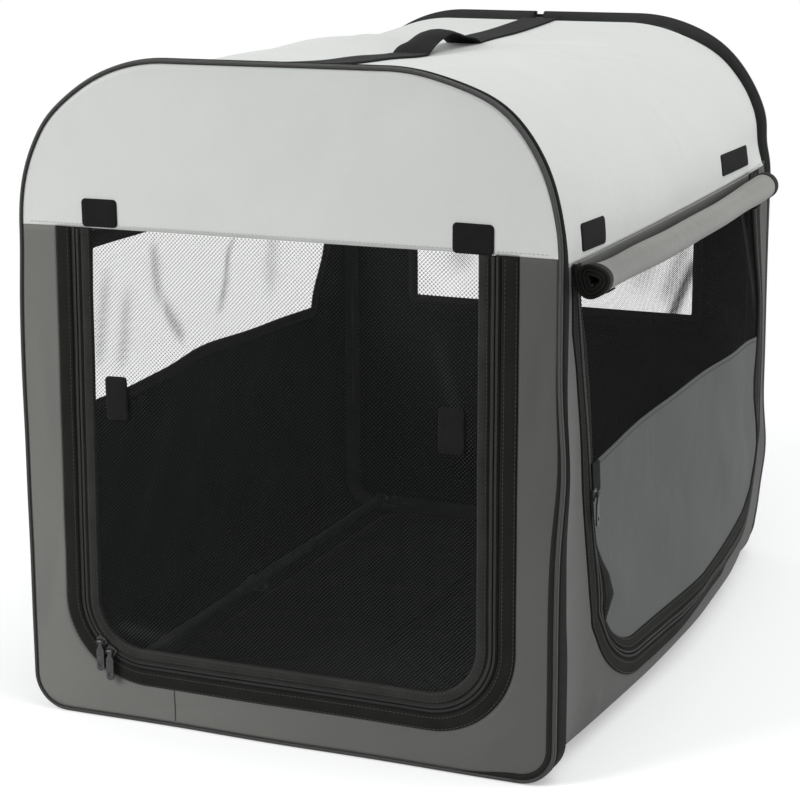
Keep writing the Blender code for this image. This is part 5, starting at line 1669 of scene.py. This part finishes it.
def barTube(name, x, z, low, high, body):
    turn = wholeTurn(barFacts["sides"])[:, None]
    y, radius = np.linspace(low, high, 12)[None, :], barFacts["radius"]
    points = stacked(x + radius * np.cos(turn), y, z + radius * np.sin(turn))
    piece = gridPiece(name, points, stacked(turn * radius, y), body, ringRows=True)
    return dress(capEnds(piece, points, False), tubeMetal, "tube")


for level in ("top", "bottom"):
    x, z = barFacts[level]
    for hand, sign in (("left", -1), ("right", 1)):
        label = f"{level}{hand.capitalize()}"
        end = barFacts["pivot"] - barFacts["clear"]
        barTube(f"{label}FrontTube", sign * x, z, -end, barFacts["frontEnd"], f"{level}_{hand}_front")
        barTube(f"{label}RearTube", sign * x, z, barFacts["rearStart"], end, f"{level}_{hand}_rear")

nodeFinishes = {
    "_hoop": tubeMetal, "_bar": tubeMetal, "_knuckle": knucklePlastic, "_pin": rivetMetal,
    "zip_slider": zipMetal, "zip_pull": zipMetal,
}
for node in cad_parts:
    piece = bpy.data.objects.get(node)
    if piece is None or piece.type != "MESH":
        continue
    for ending, material in nodeFinishes.items():
        if node.endswith(ending) or ending in node and ending.startswith("zip"):
            piece.data.materials.clear()
            piece.data.materials.append(material)
print("metal dressed")


frontHoop, rearHoop, bothHoops = ["front_hoop"], ["rear_hoop"], ["front_hoop", "rear_hoop"]
# How each sheet is held, what it rests on, the pieces sewn to it, and its strip's length where it is a U
sheetFacts = {
    "frontTopPanel": ("stretched", frontHoop, ["frontSeamStitches"], None),
    "rearTopPanel": ("stretched", rearHoop, ["rearSeamStitches"], None),
    "frontLowerPanel": ("stretched", frontHoop, ["frontZipStitches"], 1.40),
    "rearLowerPanel": ("stretched", rearHoop, ["rearWindowStitches"], None),
    "rearWindowNet": ("hung", rearHoop, [], None),
    "frontDoorNet": ("hung", frontHoop, ["frontTabLeft", "frontTabRight"], None),
    "roofPanel": ("stretched", bothHoops, ["roofPatchFront", "roofPatchRear"], None),
    "leftWall": ("hung", bothHoops, ["leftWindowBinding"], None),
    "leftWindowNet": ("hung", bothHoops, ["leftWindowStitches"], None),
    "rightWall": ("hung", bothHoops, ["sideZipStitches"], 1.67),
    "floorPanel": ("laid", bothHoops, [], None),
    "sideDoorNet": ("hung", bothHoops, [], None),
    "sideDoorPanel": ("hung", bothHoops, ["sideHemStitches"], None),
    "sideCover": ("folded", bothHoops, ["sideCoverFrontBinding", "sideCoverRearBinding"], None),
}
for name, (held, restsOn, sewn, strip) in sheetFacts.items():
    cutSheet(bpy.data.objects[name])

gather(*roofPieces, leftWall, *leftPieces, rightWall, floorPanel, mat, *sidePieces, *doorPieces)


# Floor, light and background

lightFacts = {
    "key": {"place": (-2.1, -2.6, 1.9), "aim": (0.0, -0.3, 0.35), "size": 1.8, "power": 108},
    "fill": {"place": (3.0, 0.4, 1.7), "aim": (0.2, 0.0, 0.35), "size": 2.2, "power": 20},
    "low": {"place": (2.7, 0.9, 0.15), "aim": (0.3, 0.1, 0.40), "size": 1.0, "power": 32},
    "top": {"place": (1.1, 0.0, 3.1), "aim": (0.1, 0.0, 0.5), "size": 2.4, "power": 46},
}


def addLight(name, facts):
    data = bpy.data.lights.new(name, "AREA")
    data.size = facts["size"]
    data.energy = facts["power"]
    light = bpy.data.objects.new(name, data)
    scene.collection.objects.link(light)
    light.location = facts["place"]
    aim = np.array(facts["aim"]) - np.array(facts["place"])
    flat = math.hypot(aim[0], aim[1])
    light.rotation_euler = (math.atan2(flat, -aim[2]), 0.0, math.atan2(aim[1], aim[0]) - math.pi / 2)


for name, facts in lightFacts.items():
    addLight(name, facts)


# 1 for camera, mirror and glass rays, 0 for the rays that light the object.
def seenDirectly(tree):
    path = tree.nodes.new("ShaderNodeLightPath").outputs
    either = mathNode(tree, "MAXIMUM", path["Is Camera Ray"], path["Is Glossy Ray"])
    return mathNode(tree, "MAXIMUM", either, path["Is Transmission Ray"])


world = bpy.data.worlds.new("studio")
scene.world = world
world.use_nodes = True
tree = world.node_tree
tree.nodes.clear()
ambient = addNode(tree, "ShaderNodeBackground", {"Color": (0.96, 0.98, 1.0, 1.0), "Strength": 0.40})
white = addNode(tree, "ShaderNodeBackground", {"Color": (1.0, 1.0, 1.0, 1.0), "Strength": 1.0})
mixed = addNode(tree, "ShaderNodeMixShader", {0: seenDirectly(tree), 1: ambient.outputs[0], 2: white.outputs[0]})
addNode(tree, "ShaderNodeOutputWorld", {"Surface": mixed.outputs[0]})


def addFloor():
    size, level = 30.0, -0.0004
    corners = [(-size, -size, level), (size, -size, level), (size, size, level), (-size, size, level)]
    mesh = bpy.data.meshes.new("paleFloor")
    mesh.from_pydata(corners, [], [(0, 1, 2, 3)])
    floor = bpy.data.objects.new("paleFloor", mesh)
    scene.collection.objects.link(floor)
    material, tree, shader = newMaterial("paleFloor")
    setInputs(tree, shader, {"Roughness": 0.9, "Specular IOR Level": 0.0})
    # Away from the crate the floor turns into the white backdrop
    where = tree.nodes.new("ShaderNodeTexCoord").outputs["Object"]
    distance = addNode(tree, "ShaderNodeVectorMath", {0: where}, operation="LENGTH").outputs["Value"]
    far = addNode(tree, "ShaderNodeMapRange", {
        "Value": distance, "From Min": 0.75, "From Max": 1.8, "To Min": 0.0, "To Max": 1.0}).outputs[0]
    paper = addNode(tree, "ShaderNodeRGB").outputs[0]
    paper.default_value = (0.80, 0.80, 0.80, 1.0)
    tree.links.new(scaledColour(tree, paper, mathNode(tree, "SUBTRACT", 1.0, far)), shader.inputs["Base Color"])
    strength = mathNode(tree, "MULTIPLY_ADD", far, 0.70, 0.30)
    glow = addNode(tree, "ShaderNodeEmission", {"Color": (1.0, 1.0, 1.0, 1.0), "Strength": strength})
    none = addNode(tree, "ShaderNodeEmission", {"Color": (0.0, 0.0, 0.0, 1.0), "Strength": 0.0})
    seen = addNode(tree, "ShaderNodeMixShader", {0: seenDirectly(tree), 1: none.outputs[0], 2: glow.outputs[0]})
    both = addNode(tree, "ShaderNodeAddShader", {0: shader.outputs[0], 1: seen.outputs[0]})
    tree.links.new(both.outputs[0], tree.nodes["Material Output"].inputs["Surface"])
    mesh.materials.append(material)


addFloor()
print("stage lit")
